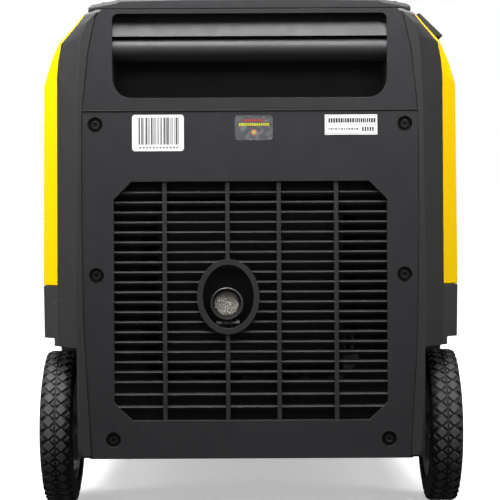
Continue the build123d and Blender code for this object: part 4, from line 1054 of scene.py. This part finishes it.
@dataclass
class Wheels:
    """Treaded tyres on their pierced rims."""

    crown_drop: float = 1.7 * MM
    bead_height: float = 22.5 * MM
    side_gap: float = 0.8 * MM
    shoulder: float = 8.5 * MM
    bead_round: float = 3.0 * MM
    rib_drop: float = 14.0 * MM
    rib_radius: float = 0.8 * MM
    blocks: int = 40
    block_height: float = 2.6 * MM
    block_edge: float = 0.45 * MM
    block_sink: float = 0.35 * MM
    wedge_place: float = 6.1 * MM
    wedge_sink: float = 1.85 * MM
    row: float = 6.3 * MM
    outer_row: float = 13.1 * MM
    inner_row: float = 2.0 * MM
    lozenge: Pair = (5.4 * MM, 5.6 * MM)
    outer_wedge: Pair = (3.4 * MM, 4.6 * MM)
    inner_wedge: Pair = (2.4 * MM, 3.4 * MM)
    lean: float = math.radians(30)
    spin_steps: int = 96

    def build(self) -> None:
        """Makes both wheels."""
        for side in ("left", "right"):
            self._tyre(side)
            rim = cad_copy(f"{side}_rim", f"{side}_rim_wheel", 0.8 * MM)
            place_on(paint(rim, "rim_metal"), body_of(f"{side}_rim"), "rim_metal", f"{side}_rim")

    def _tyre(self, side: str) -> None:
        """One tyre: a spun carcass with tread blocks and side ribs.

        Args:
            side: "left" or "right".
        """
        node = f"{side}_tyre"
        low, high = span(node)
        centre = (low + high) / 2
        radius = (high.y - low.y) / 2
        half = (high.x - low.x) / 2 - self.side_gap
        pieces = [self._carcass(centre, radius - self.crown_drop, half)]
        unit = self._tread_unit(centre, radius)
        for i in range(self.blocks):
            turn = Matrix.Translation(centre) @ Matrix.Rotation(math.tau * i / self.blocks, 4, "X")
            pieces.append(duplicate(unit, turn @ Matrix.Translation(-centre)))
        bpy.data.objects.remove(unit)
        for x in (-half, half):
            middle = centre + Vector((x, 0, 0))
            pieces.append(torus("rib", middle, radius - self.rib_drop, self.rib_radius, Axis.X, (72, 8)))
        tyre = join(f"{side}_treaded_tyre", pieces)
        finish = WornRubber(f"{side}_tread", (0.020, 0.020, 0.019), (0.105, 0.105, 0.105), radius,
                            self.crown_drop, tuple(centre)).make()
        tyre.data.materials.clear()
        tyre.data.materials.append(finish)
        place_on(tyre, body_of(node), "tyre_rubber", node)

    def _carcass(self, centre: Vector, radius: float, half: float) -> Piece:
        """The smooth body of the tyre, spun from its section.

        Args:
            centre: The wheel's centre.
            radius: Radius of the crown.
            half: Half the width.

        Returns:
            The body.
        """
        base = radius - self.bead_height
        middle = centre.z + (radius + base) / 2
        deselect()
        bpy.ops.mesh.primitive_plane_add(size=1, location=(centre.x, centre.y, middle), rotation=Axis.Y.value)
        piece = bpy.context.object
        piece.scale = (2 * half, radius - base, 1)
        settle(piece)
        for above, offset in ((True, self.shoulder), (False, self.bead_round)):
            with editing(piece) as mesh:
                select_corners(piece, mesh, lambda place, above=above: (place.z > middle) == above)
                bpy.ops.mesh.bevel(offset=offset, segments=5, affect="VERTICES")
        with editing(piece):
            bpy.ops.mesh.select_all(action="SELECT")
            bpy.ops.mesh.delete(type="ONLY_FACE")
            bpy.ops.mesh.select_all(action="SELECT")
            bpy.ops.mesh.spin(steps=self.spin_steps, angle=math.tau, center=centre, axis=(1, 0, 0))
            bpy.ops.mesh.select_all(action="SELECT")
            bpy.ops.mesh.remove_doubles(threshold=0.05 * MM)
            bpy.ops.mesh.normals_make_consistent(inside=False)
        pick(piece)
        bpy.ops.object.shade_smooth_by_angle(angle=SMOOTH_ANGLE)
        return piece

    def _tread_unit(self, centre: Vector, radius: float) -> Piece:
        """Two lozenges with the small wedges beside them, at the top of the wheel.

        Args:
            centre: The wheel's centre.
            radius: Radius over the tread.

        Returns:
            The unit.
        """
        crown = centre + Vector((0, 0, radius - self.block_sink))
        shoulder = centre + Vector((0, self.wedge_place, radius - self.wedge_sink))
        inside = crown + Vector((0, self.wedge_place, 0))
        quarter = math.pi / 2
        pieces = []
        for side in (-1, 1):
            across = Vector((side, 0, 0))
            pieces.append(self._block(4, crown + across * self.row, self.lozenge))
            pieces.append(self._block(3, shoulder + across * self.outer_row, self.outer_wedge, side * quarter,
                                      side * self.lean))
            pieces.append(self._block(3, inside + across * self.inner_row, self.inner_wedge, -side * quarter))
        return join("tread_unit", pieces)

    def _block(self, sides: int, top: Vector, size: Pair, turn: float = 0.0, lean: float = 0.0) -> Piece:
        """One raised tread block.

        Args:
            sides: 4 for a lozenge, 3 for a wedge.
            top: The middle of its top.
            size: Half its width and half its length.
            turn: Turn about the upright.
            lean: Lean over the shoulder.

        Returns:
            The block.
        """
        deselect()
        bpy.ops.mesh.primitive_cylinder_add(vertices=sides, radius=1, depth=self.block_height)
        piece = bpy.context.object
        piece.rotation_euler = (0, 0, turn)
        settle(piece)
        piece.scale = (*size, 1)
        settle(piece)
        bevel(piece, self.block_edge, 1, 40)
        piece.rotation_euler = (0, lean, 0)
        piece.location = top - Vector((0, 0, self.block_height / 2))
        settle(piece)
        return piece


@dataclass
class Exhaust:
    """Outlet tube with its wire screen and band clamp, and the silencer behind it."""

    lip: float = 0.65 * MM
    tube_wall: float = 1.2 * MM
    tube_end: float = 6.0 * MM
    seat_gap: float = 1.4 * MM
    seat_place: float = 4.0 * MM
    seat_length: float = 5.0 * MM
    seat_rim: float = 2.1 * MM
    screen_gap: float = 3.6 * MM
    screen_depth: float = 5.0 * MM
    wire: float = 0.34 * MM
    mesh_pitch: float = 1.45 * MM
    weave: float = 0.30 * MM
    wire_sides: int = 5
    band: float = 1.6 * MM

    def build(self) -> None:
        """Makes the outlet, the screen, the clamp and the silencer."""
        low, high = span("exhaust_tip")
        centre = Vector(((low.x + high.x) / 2, low.y, (low.z + high.z) / 2))
        radius = (high.x - low.x) / 2
        self._tube(centre, radius, high.y - low.y)
        self._screen(centre, radius - self.screen_gap)
        clamp = cad_copy("exhaust_clamp", "outlet_clamp", 0.35 * MM)
        self._dark_band(clamp, centre, radius)
        place_on(clamp, body_of("exhaust_clamp"), "bright_steel", "exhaust_clamp")
        silencer = paint(cad_copy("muffler", "silencer", 2.5 * MM), "dark_steel")
        place_on(silencer, body_of("muffler"), "dark_steel", "muffler")

    def _tube(self, centre: Vector, radius: float, length: float) -> None:
        """The outlet tube, hollowed from its face, with a rolled bright rim.

        Args:
            centre: Middle of its mouth.
            radius: Outer radius.
            length: Length.
        """
        outwards = -Axis.Y.along
        tube = drum("outlet_tube", radius - self.lip / 2, centre, length, Axis.Y, 64)
        paint(bevel(recess(tube, outwards, self.tube_wall, length - self.tube_end), 0.3 * MM), "soot")
        rim = torus("rim", centre + Vector((0, self.lip, 0)), radius - self.lip, self.lip, Axis.Y, (96, 12))
        paint(rim, "bright_steel")
        place = centre - outwards * self.seat_place
        seat = drum("seat", radius - self.seat_gap, place, self.seat_length, Axis.Y, 64)
        paint(bevel(recess(seat, outwards, self.seat_rim, 4 * MM), 0.3 * MM), "soot")
        place_on(join("outlet_pipe", [tube, rim, seat]), body_of("exhaust_tip"), "hot_steel", "exhaust_tip")

    def _screen(self, centre: Vector, radius: float) -> None:
        """Woven wire screen, its wires running both ways at 45 degrees.

        Args:
            centre: Middle of the outlet's mouth.
            radius: The screen's radius.
        """
        count = int(2 * radius / self.mesh_pitch)
        wire = self._wave(count)
        face = centre + Vector((0, self.screen_depth, 0))
        pieces = []
        for family, turn in enumerate((math.pi / 4, -math.pi / 4)):
            lay = Matrix.Translation(face) @ Matrix.Rotation(turn, 4, "Y")
            for i in range(count + 1):
                move = lay @ Matrix.Translation((0, 0, (i - count / 2) * self.mesh_pitch))
                over = math.pi * ((i + family) % 2)
                pieces.append(paint(duplicate(wire, move @ Matrix.Rotation(over, 4, "X")), "arrester_mesh"))
                self._trim(pieces[-1], centre, radius)
        bpy.data.objects.remove(wire)
        for piece in [piece for piece in pieces if not piece.data.vertices]:
            pieces.remove(piece)
            bpy.data.objects.remove(piece)
        back = drum("screen_back", radius, face + Vector((0, 1.2 * MM, 0)), 0.8 * MM, Axis.Y, 64)
        pieces.append(paint(bevel(back, 0.2 * MM, 1), "screen_back"))
        place_on(join("woven_screen", pieces), body_of("spark_arrester"), "arrester_mesh", "spark_arrester")

    def _wave(self, count: int) -> Piece:
        """One long wire along X that weaves up and down in Y.

        Args:
            count: How many meshes it crosses.

        Returns:
            The wire.
        """
        steps = 2 * (count + 4)
        pitch = self.mesh_pitch / 2
        length = steps * pitch
        wire = drum("wire", self.wire, (-length / 2, 0, 0), length, Axis.X, self.wire_sides)
        with editing(wire):
            for i in range(1, steps):
                bpy.ops.mesh.select_all(action="SELECT")
                bpy.ops.mesh.bisect(plane_co=(i * pitch - length / 2, 0, 0), plane_no=(1, 0, 0))
        for phase, rise in ((1, self.weave), (3, -self.weave)):
            with editing(wire) as mesh:
                select_corners(wire, mesh,
                               lambda at, phase=phase: round(at.x / pitch + steps / 2) % 4 == phase)
                bpy.ops.transform.translate(value=(0, rise, 0))
        pick(wire)
        bpy.ops.object.shade_smooth()
        return wire

    @staticmethod
    def _trim(piece: Piece, centre: Vector, radius: float) -> None:
        """Cuts a wire to the disc and closes its ends.

        Args:
            piece: The wire.
            centre: The disc's middle.
            radius: The disc's radius.
        """
        with editing(piece) as mesh:
            select_corners(piece, mesh, lambda at: math.hypot(at.x - centre.x, at.z - centre.z) > radius)
            bpy.ops.mesh.delete(type="VERT")
            bpy.ops.mesh.select_all(action="SELECT")
            bpy.ops.mesh.fill_holes(sides=0)

    def _dark_band(self, clamp: Piece, centre: Vector, radius: float) -> None:
        """Gives the band a sooty finish and leaves the screw bright.

        Args:
            clamp: The band with its screw.
            centre: Middle of the tube that it holds.
            radius: The tube's radius.
        """
        paint(clamp, "soot")
        clamp.data.materials.append(finish_of("bright_steel"))
        for face in clamp.data.polygons:
            across, drop = face.center.x - centre.x, centre.z - face.center.z
            if drop > radius and math.hypot(across, drop) > radius + self.band:
                face.material_index = 1


@dataclass
class Labels:
    """Stick-on labels with generic print, and a clear film patch."""

    thickness: float = 0.22 * MM
    print_lift: float = 0.06 * MM
    code_size: Pair = (51.8 * MM, 36.4 * MM)
    code_middle: Pair = (-92.0 * MM, 21.4 * MM)
    code_span: Pair = (-19.4 * MM, 21.0 * MM)
    code_bar: Pair = (1.9 * MM, 27.0 * MM)
    code_dash: Pair = (-14.6 * MM, 1.5 * MM)
    code_dashes: int = 12
    data_size: Pair = (52.5 * MM, 20.2 * MM)
    data_middle: Pair = (101.2 * MM, 13.9 * MM)
    data_left: float = -22.6 * MM
    film_size: Pair = (38.0 * MM, 25.0 * MM)
    film_middle: Pair = (4.0 * MM, 16.6 * MM)
    film_lift: float = 0.25 * MM
    folds: int = 12
    fold_height: float = 0.34
    stripe_pitch: float = 2.2 * MM
    stripe_width: float = 1.75 * MM
    dot_up: float = -4.8 * MM

    def build(self) -> None:
        """Sticks every label on the flat panel, measured down from its top edge."""
        low, high = span("rear_panel")
        self.face = low.y
        self.top = high.z
        self._code_label()
        self._data_label()
        self._film()

    def _at(self, middle: Pair, across: float = 0.0, up: float = 0.0, lift: float = 0.0) -> Vector:
        """A point on a label.

        Args:
            middle: The label's middle, across and down from the panel's top edge.
            across: Offset across.
            up: Offset upwards.
            lift: Height above the paper.

        Returns:
            The point.
        """
        return Vector((middle[0] + across, self.face - self.thickness / 2 - lift, self.top - middle[1] + up))

    def _bar(self, middle: Pair, at: Pair, size: Pair, finish: str) -> Piece:
        """One printed bar on a label.

        Args:
            middle: The label's middle.
            at: The bar's place across and up from there.
            size: Its width and height.
            finish: Its ink.

        Returns:
            The bar.
        """
        place = self._at(middle, *at, self.print_lift)
        return paint(plate("bar", place, (size[0], self.thickness, size[1]), 0.0, Axis.Y, FINE_EDGE), finish)

    def _sheet(self, name: str, middle: Pair, size: Pair, corner: float, finish: str) -> Piece:
        """The paper or film of a label.

        Args:
            name: The piece's name.
            middle: The label's middle.
            size: Its width and height.
            corner: Its corner radius.
            finish: Its finish.

        Returns:
            The sheet.
        """
        sheet = plate(name, self._at(middle), (size[0], self.thickness, size[1]), corner, Axis.Y)
        return paint(sheet, finish)

    def _code_label(self) -> None:
        """White label with a run of bars and a row of small dashes."""
        pieces = [self._sheet("code_paper", self.code_middle, self.code_size, 3.0 * MM, "label_white")]
        source = random.Random(11)
        left, right = self.code_span
        up, height = self.code_bar
        at = left
        while at < right:
            width = source.choice((0.45, 0.45, 0.9, 1.35)) * MM
            pieces.append(self._bar(self.code_middle, (at + width / 2, up), (width, height), "label_ink"))
            at += width + source.choice((0.5, 0.5, 0.95, 1.4)) * MM
        up, height = self.code_dash
        for i in range(self.code_dashes):
            across = left + (i + 0.5) * (right - left) / self.code_dashes
            pieces.append(self._bar(self.code_middle, (across, up), (2.0 * MM, height), "label_grey"))
        place_on(join("code_label", pieces), "root", "ceramic_white")

    def _data_label(self) -> None:
        """White label with lines of dashes and a ruled cell."""
        pieces = [self._sheet("data_paper", self.data_middle, self.data_size, 0.6 * MM, "label_white")]
        source = random.Random(5)
        lines = ((22.5, (1.1, 2.0), 0.65, 4.2, 4.4, "label_ink"),
                 (6.5, (0.8, 2.4), 0.8, -4.2, 1.7, "label_grey"))
        for right, widths, gap, up, height, ink in lines:
            at = self.data_left
            while at < right * MM:
                width = source.uniform(*widths) * MM
                place = (at + width / 2, up * MM)
                pieces.append(self._bar(self.data_middle, place, (width, height * MM), ink))
                at += width + gap * MM
        marks = [(11.8 + 2.5 * i, -4.4, 1.5, 4.2, "label_ink") for i in range(5)]
        marks += [(0.0, up, 49.6, 0.3, "label_grey") for up in (8.9, -8.9)]
        marks += [(across, 0.0, 0.3, 17.8, "label_grey") for across in (-24.8, 24.8)]
        marks += [(0.0, -0.2, 49.6, 0.3, "label_grey"), (8.9, -4.5, 0.3, 8.8, "label_grey")]
        for across, up, width, height, ink in marks:
            pieces.append(self._bar(self.data_middle, (across * MM, up * MM), (width * MM, height * MM), ink))
        place_on(join("data_label", pieces), "root", "ceramic_white")

    def _film(self) -> None:
        """Crinkled clear film with two coloured stripes and a plain dot."""
        film = self._sheet("film", self.film_middle, self.film_size, 4.0 * MM, "clear_film")
        wide, tall = self.film_size
        with editing(film):
            for i in range(1, self.folds):
                share = i / self.folds - 0.5
                for at, normal in (((share * wide, 0.0), (1, 0, 0.25)), ((0.0, share * tall), (-0.2, 0, 1))):
                    bpy.ops.mesh.select_all(action="SELECT")
                    bpy.ops.mesh.bisect(plane_co=self._at(self.film_middle, *at), plane_no=normal)
        source = random.Random(3)
        with editing(film) as mesh:
            for corner in mesh.verts:
                if corner.co.y < self.face - self.thickness * 0.6:
                    corner.co.y -= source.uniform(0.0, self.fold_height) * MM
            bmesh.update_edit_mesh(film.data)
        pieces = [film]
        for finish, up, width, height in (("film_red", 7.4, 23.0, 2.6), ("film_gold", 3.2, 31.0, 3.0)):
            count = int(width * MM / self.stripe_pitch)
            size = (self.stripe_width, self.thickness, height * MM)
            for i in range(count):
                across = (i - (count - 1) / 2) * self.stripe_pitch
                place = self._at(self.film_middle, across, up * MM, self.film_lift)
                pieces.append(paint(plate("stripe", place, size, 0.3 * MM, Axis.Y, FINE_EDGE), finish))
        for finish, radius, lift in (("film_red", 3.4, 0.0), ("film_gold", 2.2, 0.08)):
            place = self._at(self.film_middle, 0, self.dot_up, self.film_lift + lift * MM)
            dot = drum("dot", radius * MM, place, self.thickness, Axis.Y, 32)
            pieces.append(paint(bevel(dot, 0.05 * MM, 1), finish))
        place_on(join("film_patch", pieces), "root", "lens")


@dataclass
class ControlEnd:
    """Fittings and print of the control panel."""

    print_depth: float = 0.15 * MM
    line: float = 0.5 * MM
    mark_depth: float = 0.3 * MM
    digits: int = 3
    digit_start: float = 18.0 * MM
    digit_pitch: float = 22.0 * MM
    digit_rise: float = 3.0 * MM
    digit_half: float = 6.0 * MM
    meter_bars: int = 9
    meter_start: Pair = (12.0 * MM, 8.0 * MM)
    meter_pitch: float = 8.0 * MM
    tick_gap: float = 5.0 * MM
    rocker_rim: float = 3.0 * MM
    rocker_rise: float = 1.8 * MM
    lid_centre: float = 28.0 * MM
    screw_offset: float = 24.5 * MM
    screw_rise: float = 9.0 * MM
    barrel_half: float = 11.0 * MM
    frame_margin: Triple = (12.0 * MM, 0.0, 10.0 * MM)

    def build(self) -> None:
        """Dresses the panel from its display down to its outlets."""
        low, _ = span("display_window")
        self.panel = low.y
        self._display()
        self._knob()
        self._buttons()
        self._lamps()
        self._outlets()
        self._lids()
        self._frames()

    def _print(self, x: float, z: float, width: float, height: float) -> Piece:
        """One printed mark on the panel.

        Args:
            x: Its middle across.
            z: Its middle height.
            width: Its width.
            height: Its height.

        Returns:
            The mark.
        """
        place = Vector((x, self.panel + self.print_depth / 2, z))
        mark = plate("mark", place, (width, self.print_depth, height), 0.0, Axis.Y, FINE_EDGE)
        return paint(mark, "print_white")

    def _segment(self, place: Vector, width: float, height: float) -> Piece:
        """One lit bar of the meter, of a given width and height."""
        segment = plate("segment", place, (width, self.mark_depth, height), 0.4 * MM, Axis.Y)
        return paint(segment, "segment_amber")

    def _display(self) -> None:
        """The meter window with lit segments."""
        low, high = span("display_window")
        window = paint(cad_copy("display_window", "meter_window", 0.5 * MM), "lens")
        place_on(window, body_of("display_window"), "lens", "display_window")
        pieces = []
        for i in range(self.digits):
            x = high.x - self.digit_start - self.digit_pitch * i
            middle = Vector((x, high.y, (low.z + high.z) / 2 + self.digit_rise))
            pieces += self._digit(middle, self.digit_half)
        across, up = self.meter_start
        for i in range(self.meter_bars):
            at = Vector((low.x + across + self.meter_pitch * i, high.y, low.z + up))
            pieces.append(self._segment(at, 5 * MM, 2.5 * MM))
        place_on(join("meter_segments", pieces), "root", "lamp_green")

    def _digit(self, middle: Vector, half: float) -> list[Piece]:
        """Six lit segments in a ring.

        Args:
            middle: The digit's middle.
            half: Half its height.

        Returns:
            The segments.
        """
        long, thin = half * 0.8, half * 0.2
        places = [(0, z, long, thin) for z in (2, -2)]
        places += [(x, z, thin, long) for z in (1, -1) for x in (-1, 1)]
        return [self._segment(middle + Vector((x, 0, z)) * half / 2, *size) for x, z, *size in places]

    def _knob(self) -> None:
        """Engine switch with a pointer line, and its stops on the panel."""
        low, high = span("selector_knob")
        middle = (low + high) / 2
        knob = paint(cad_copy("selector_knob", "knob_body", 0.8 * MM), "gloss_black")
        place = Vector((middle.x, high.y, high.z - 8 * MM))
        pointer = plate("pointer", place, (1.6 * MM, self.mark_depth, 8 * MM), 0.5 * MM, Axis.Y)
        knob = join("switch_knob", [knob, paint(pointer, "print_white")])
        place_on(knob, body_of("selector_knob"), "gloss_black", "selector_knob")
        marks = []
        hub = Matrix.Translation((middle.x, self.panel, middle.z))
        out = Matrix.Translation((0, -self.panel, (high.x - low.x) / 2 + self.tick_gap))
        for i in range(-2, 3):
            tick = self._print(0, 0, 1.2 * MM, 3 * MM if i % 2 else 5 * MM)
            tick.data.transform(hub @ Matrix.Rotation(math.radians(45 * i), 4, "Y") @ out)
            marks.append(tick)
        place_on(join("switch_marks", marks), "root", "ceramic_white")

    def _buttons(self) -> None:
        """Start button, reset button, rocker and earth stud with softened edges."""
        for node, finish, slot, width in (("start_button", "button_green", "button_green", 0.7),
                                          ("breaker_button", "signal_red", "gloss_black", 0.6),
                                          ("eco_rocker", "gloss_black", "gloss_black", 0.5),
                                          ("ground_terminal", "bright_steel", "bright_steel", 0.5)):
            place_on(paint(cad_copy(node, f"{node}_cap", width * MM), finish), body_of(node), slot, node)
        low, high = span("eco_rocker")
        rim = Vector((self.rocker_rim, 0, self.rocker_rim))
        low.y, high.y = self.panel, self.panel + self.rocker_rise
        surround = recess(cube("rocker_frame", low - rim, high + rim), Axis.Y.along, 2.4 * MM, 1.6 * MM)
        place_on(paint(bevel(surround, 0.5 * MM), "gloss_black"), "root", "gloss_black")

    def _lamps(self) -> None:
        """Three domed lamps in different tints."""
        low, high = span("pilot_lamps")
        radius = (high.z - low.z) / 2
        pieces = []
        for i, finish in enumerate(("lamp_green", "segment_amber", "lamp_red")):
            x = low.x + radius + i * (high.x - low.x - 2 * radius) / 2
            lamp = drum("lamp", radius, (x, low.y, low.z + radius), high.y - low.y, Axis.Y, 32)
            pieces.append(paint(bevel(lamp, radius * 0.55, 5), finish))
        place_on(join("lamps", pieces), "root", "lamp_green", "pilot_lamps")

    def _outlets(self) -> None:
        """Outlets with corner screws and the barrels of their lids' hinges."""
        pieces = [paint(cad_copy("outlet_fittings", "outlet_bodies", 0.7 * MM), "gloss_black")]
        offsets = (-self.screw_offset, self.screw_offset)
        for side in ("left", "right"):
            low, high = span(f"{side}_outlet_lid")
            x, z = (low.x + high.x) / 2, low.z + self.lid_centre
            for dx in offsets:
                for dz in offsets:
                    pieces.append(self._small_screw(x + dx, self.panel + self.screw_rise, z + dz))
            start = (x - self.barrel_half, low.y + 0.4 * MM, high.z + 0.6 * MM)
            barrel = drum("barrel", 2.2 * MM, start, 2 * self.barrel_half, Axis.X, 20)
            pieces.append(paint(bevel(barrel, 0.4 * MM), "gloss_black"))
        place_on(join("outlets", pieces), "root", "gloss_black", "outlet_fittings")

    def _lids(self) -> None:
        """The outlets' sprung lids with a dished boss."""
        for side in ("left", "right"):
            node = f"{side}_outlet_lid"
            low, high = span(node)
            lid = paint(cad_copy(node, f"{side}_lid_disc", 0.8 * MM), "lever_grey")
            start = ((low.x + high.x) / 2, high.y - 0.3 * MM, low.z + self.lid_centre)
            boss = recess(drum("boss", 15 * MM, start, 1.2 * MM, Axis.Y), Axis.Y.along, 2.2 * MM, 0.8 * MM)
            lid = join(f"{side}_lid", [lid, paint(bevel(boss, 0.3 * MM), "lever_grey")])
            place_on(lid, body_of(node), "gloss_black", node)

    @staticmethod
    def _small_screw(x: float, y: float, z: float) -> Piece:
        """A small socket screw head, seated a little below the given point."""
        head = drum("head", 2.4 * MM, (x, y - 0.3 * MM, z), 1.1 * MM, Axis.Y, 20)
        return paint(bevel(recess(head, Axis.Y.along, 1.1 * MM, 0.7 * MM), 0.25 * MM), "bright_steel")

    def _frames(self) -> None:
        """Printed frames around the groups of controls."""
        pieces = []
        margin = Vector(self.frame_margin)
        for group in (("selector_knob", "pilot_lamps", "eco_rocker"),
                      ("left_outlet_lid", "right_outlet_lid")):
            corners = [span(node) for node in group]
            low = Vector([min(corner[0][i] for corner in corners) for i in range(3)]) - margin
            high = Vector([max(corner[1][i] for corner in corners) for i in range(3)]) + margin
            middle, size = (low + high) / 2, high - low
            pieces += [self._print(middle.x, z, size.x, self.line) for z in (low.z, high.z)]
            pieces += [self._print(x, middle.z, self.line, size.z) for x in (low.x, high.x)]
        place_on(join("panel_print", pieces), "root", "ceramic_white")


@dataclass
class Fittings:
    """Smaller CAD nodes with softened edges, and the door's quarter-turn lock."""

    softened: dict[str, float] = field(default_factory=lambda: {
        "panel_screws": 0.25, "baffle_plate": 0.4, "handle_brackets": 0.5, "handle_pins": 0.5,
        "front_feet": 1.2, "base_tray": 0.8, "axle": 0.8, "wheel_retainers": 0.4, "foot_bolts": 0.4,
        "fuel_cap": 0.7, "vent_lever": 0.5, "recoil_grip": 1.6, "recoil_housing": 0.8, "air_filter_box": 2.0,
        "fuel_tank": 3.0, "battery": 1.2, "engine_crankcase": 1.6, "engine_cylinder": 0.6,
        "cylinder_head": 0.6, "carburettor": 1.4,
    })
    lock_radius: float = 9.0 * MM
    lock_length: float = 3.4 * MM
    lock_sink: float = 2.2 * MM
    lock_height: float = 0.62

    def build(self) -> None:
        """Softens the fittings and adds the lock."""
        slots = record_slots()
        for node, width in self.softened.items():
            piece = cad_copy(node, f"{node}_soft", width * MM, 2, 35)
            finish = "panel_black" if node == "baffle_plate" else slots[node]
            place_on(paint(piece, finish), body_of(node), slots[node], node)
        self._lock()

    def _lock(self) -> None:
        """Quarter-turn lock at the middle of the service door's length, above half its height."""
        low, high = span("service_door")
        height = low.z + self.lock_height * (high.z - low.z)
        place = Vector((high.x - self.lock_sink, (low.y + high.y) / 2, height))
        lock = drum("lock", self.lock_radius, place, self.lock_length, Axis.X)
        paint(bevel(recess(lock, Axis.X.along, 1.6 * MM, 1.0 * MM), 0.4 * MM), "gloss_black")
        place.x += 2.6 * MM
        slot = plate("slot", place, (1.2 * MM, 12.0 * MM, 2.6 * MM), 0.8 * MM, Axis.X)
        place_on(join("door_lock", [lock, paint(slot, "lever_grey")]), body_of("service_door"), "gloss_black")


def dress_frame() -> None:
    """Gives every CAD node the finish of its record slot."""
    slots = record_slots() | {"left_tyre": "rubber", "right_tyre": "rubber"}
    for node, piece in NODES.items():
        if not piece.material_slots:
            piece.data.materials.append(None)
        for slot in piece.material_slots:
            slot.material = finish_of(slots[node])


def main() -> None:
    """Builds the studio and every sub-assembly in order."""
    logging.basicConfig(level=logging.INFO, format="%(name)s: %(message)s")
    Studio().build()
    dress_frame()
    for assembly in (Shells(), Wheels(), Exhaust(), Labels(), ControlEnd(), Fittings()):
        assembly.build()


if __name__ == "__main__":
    main()
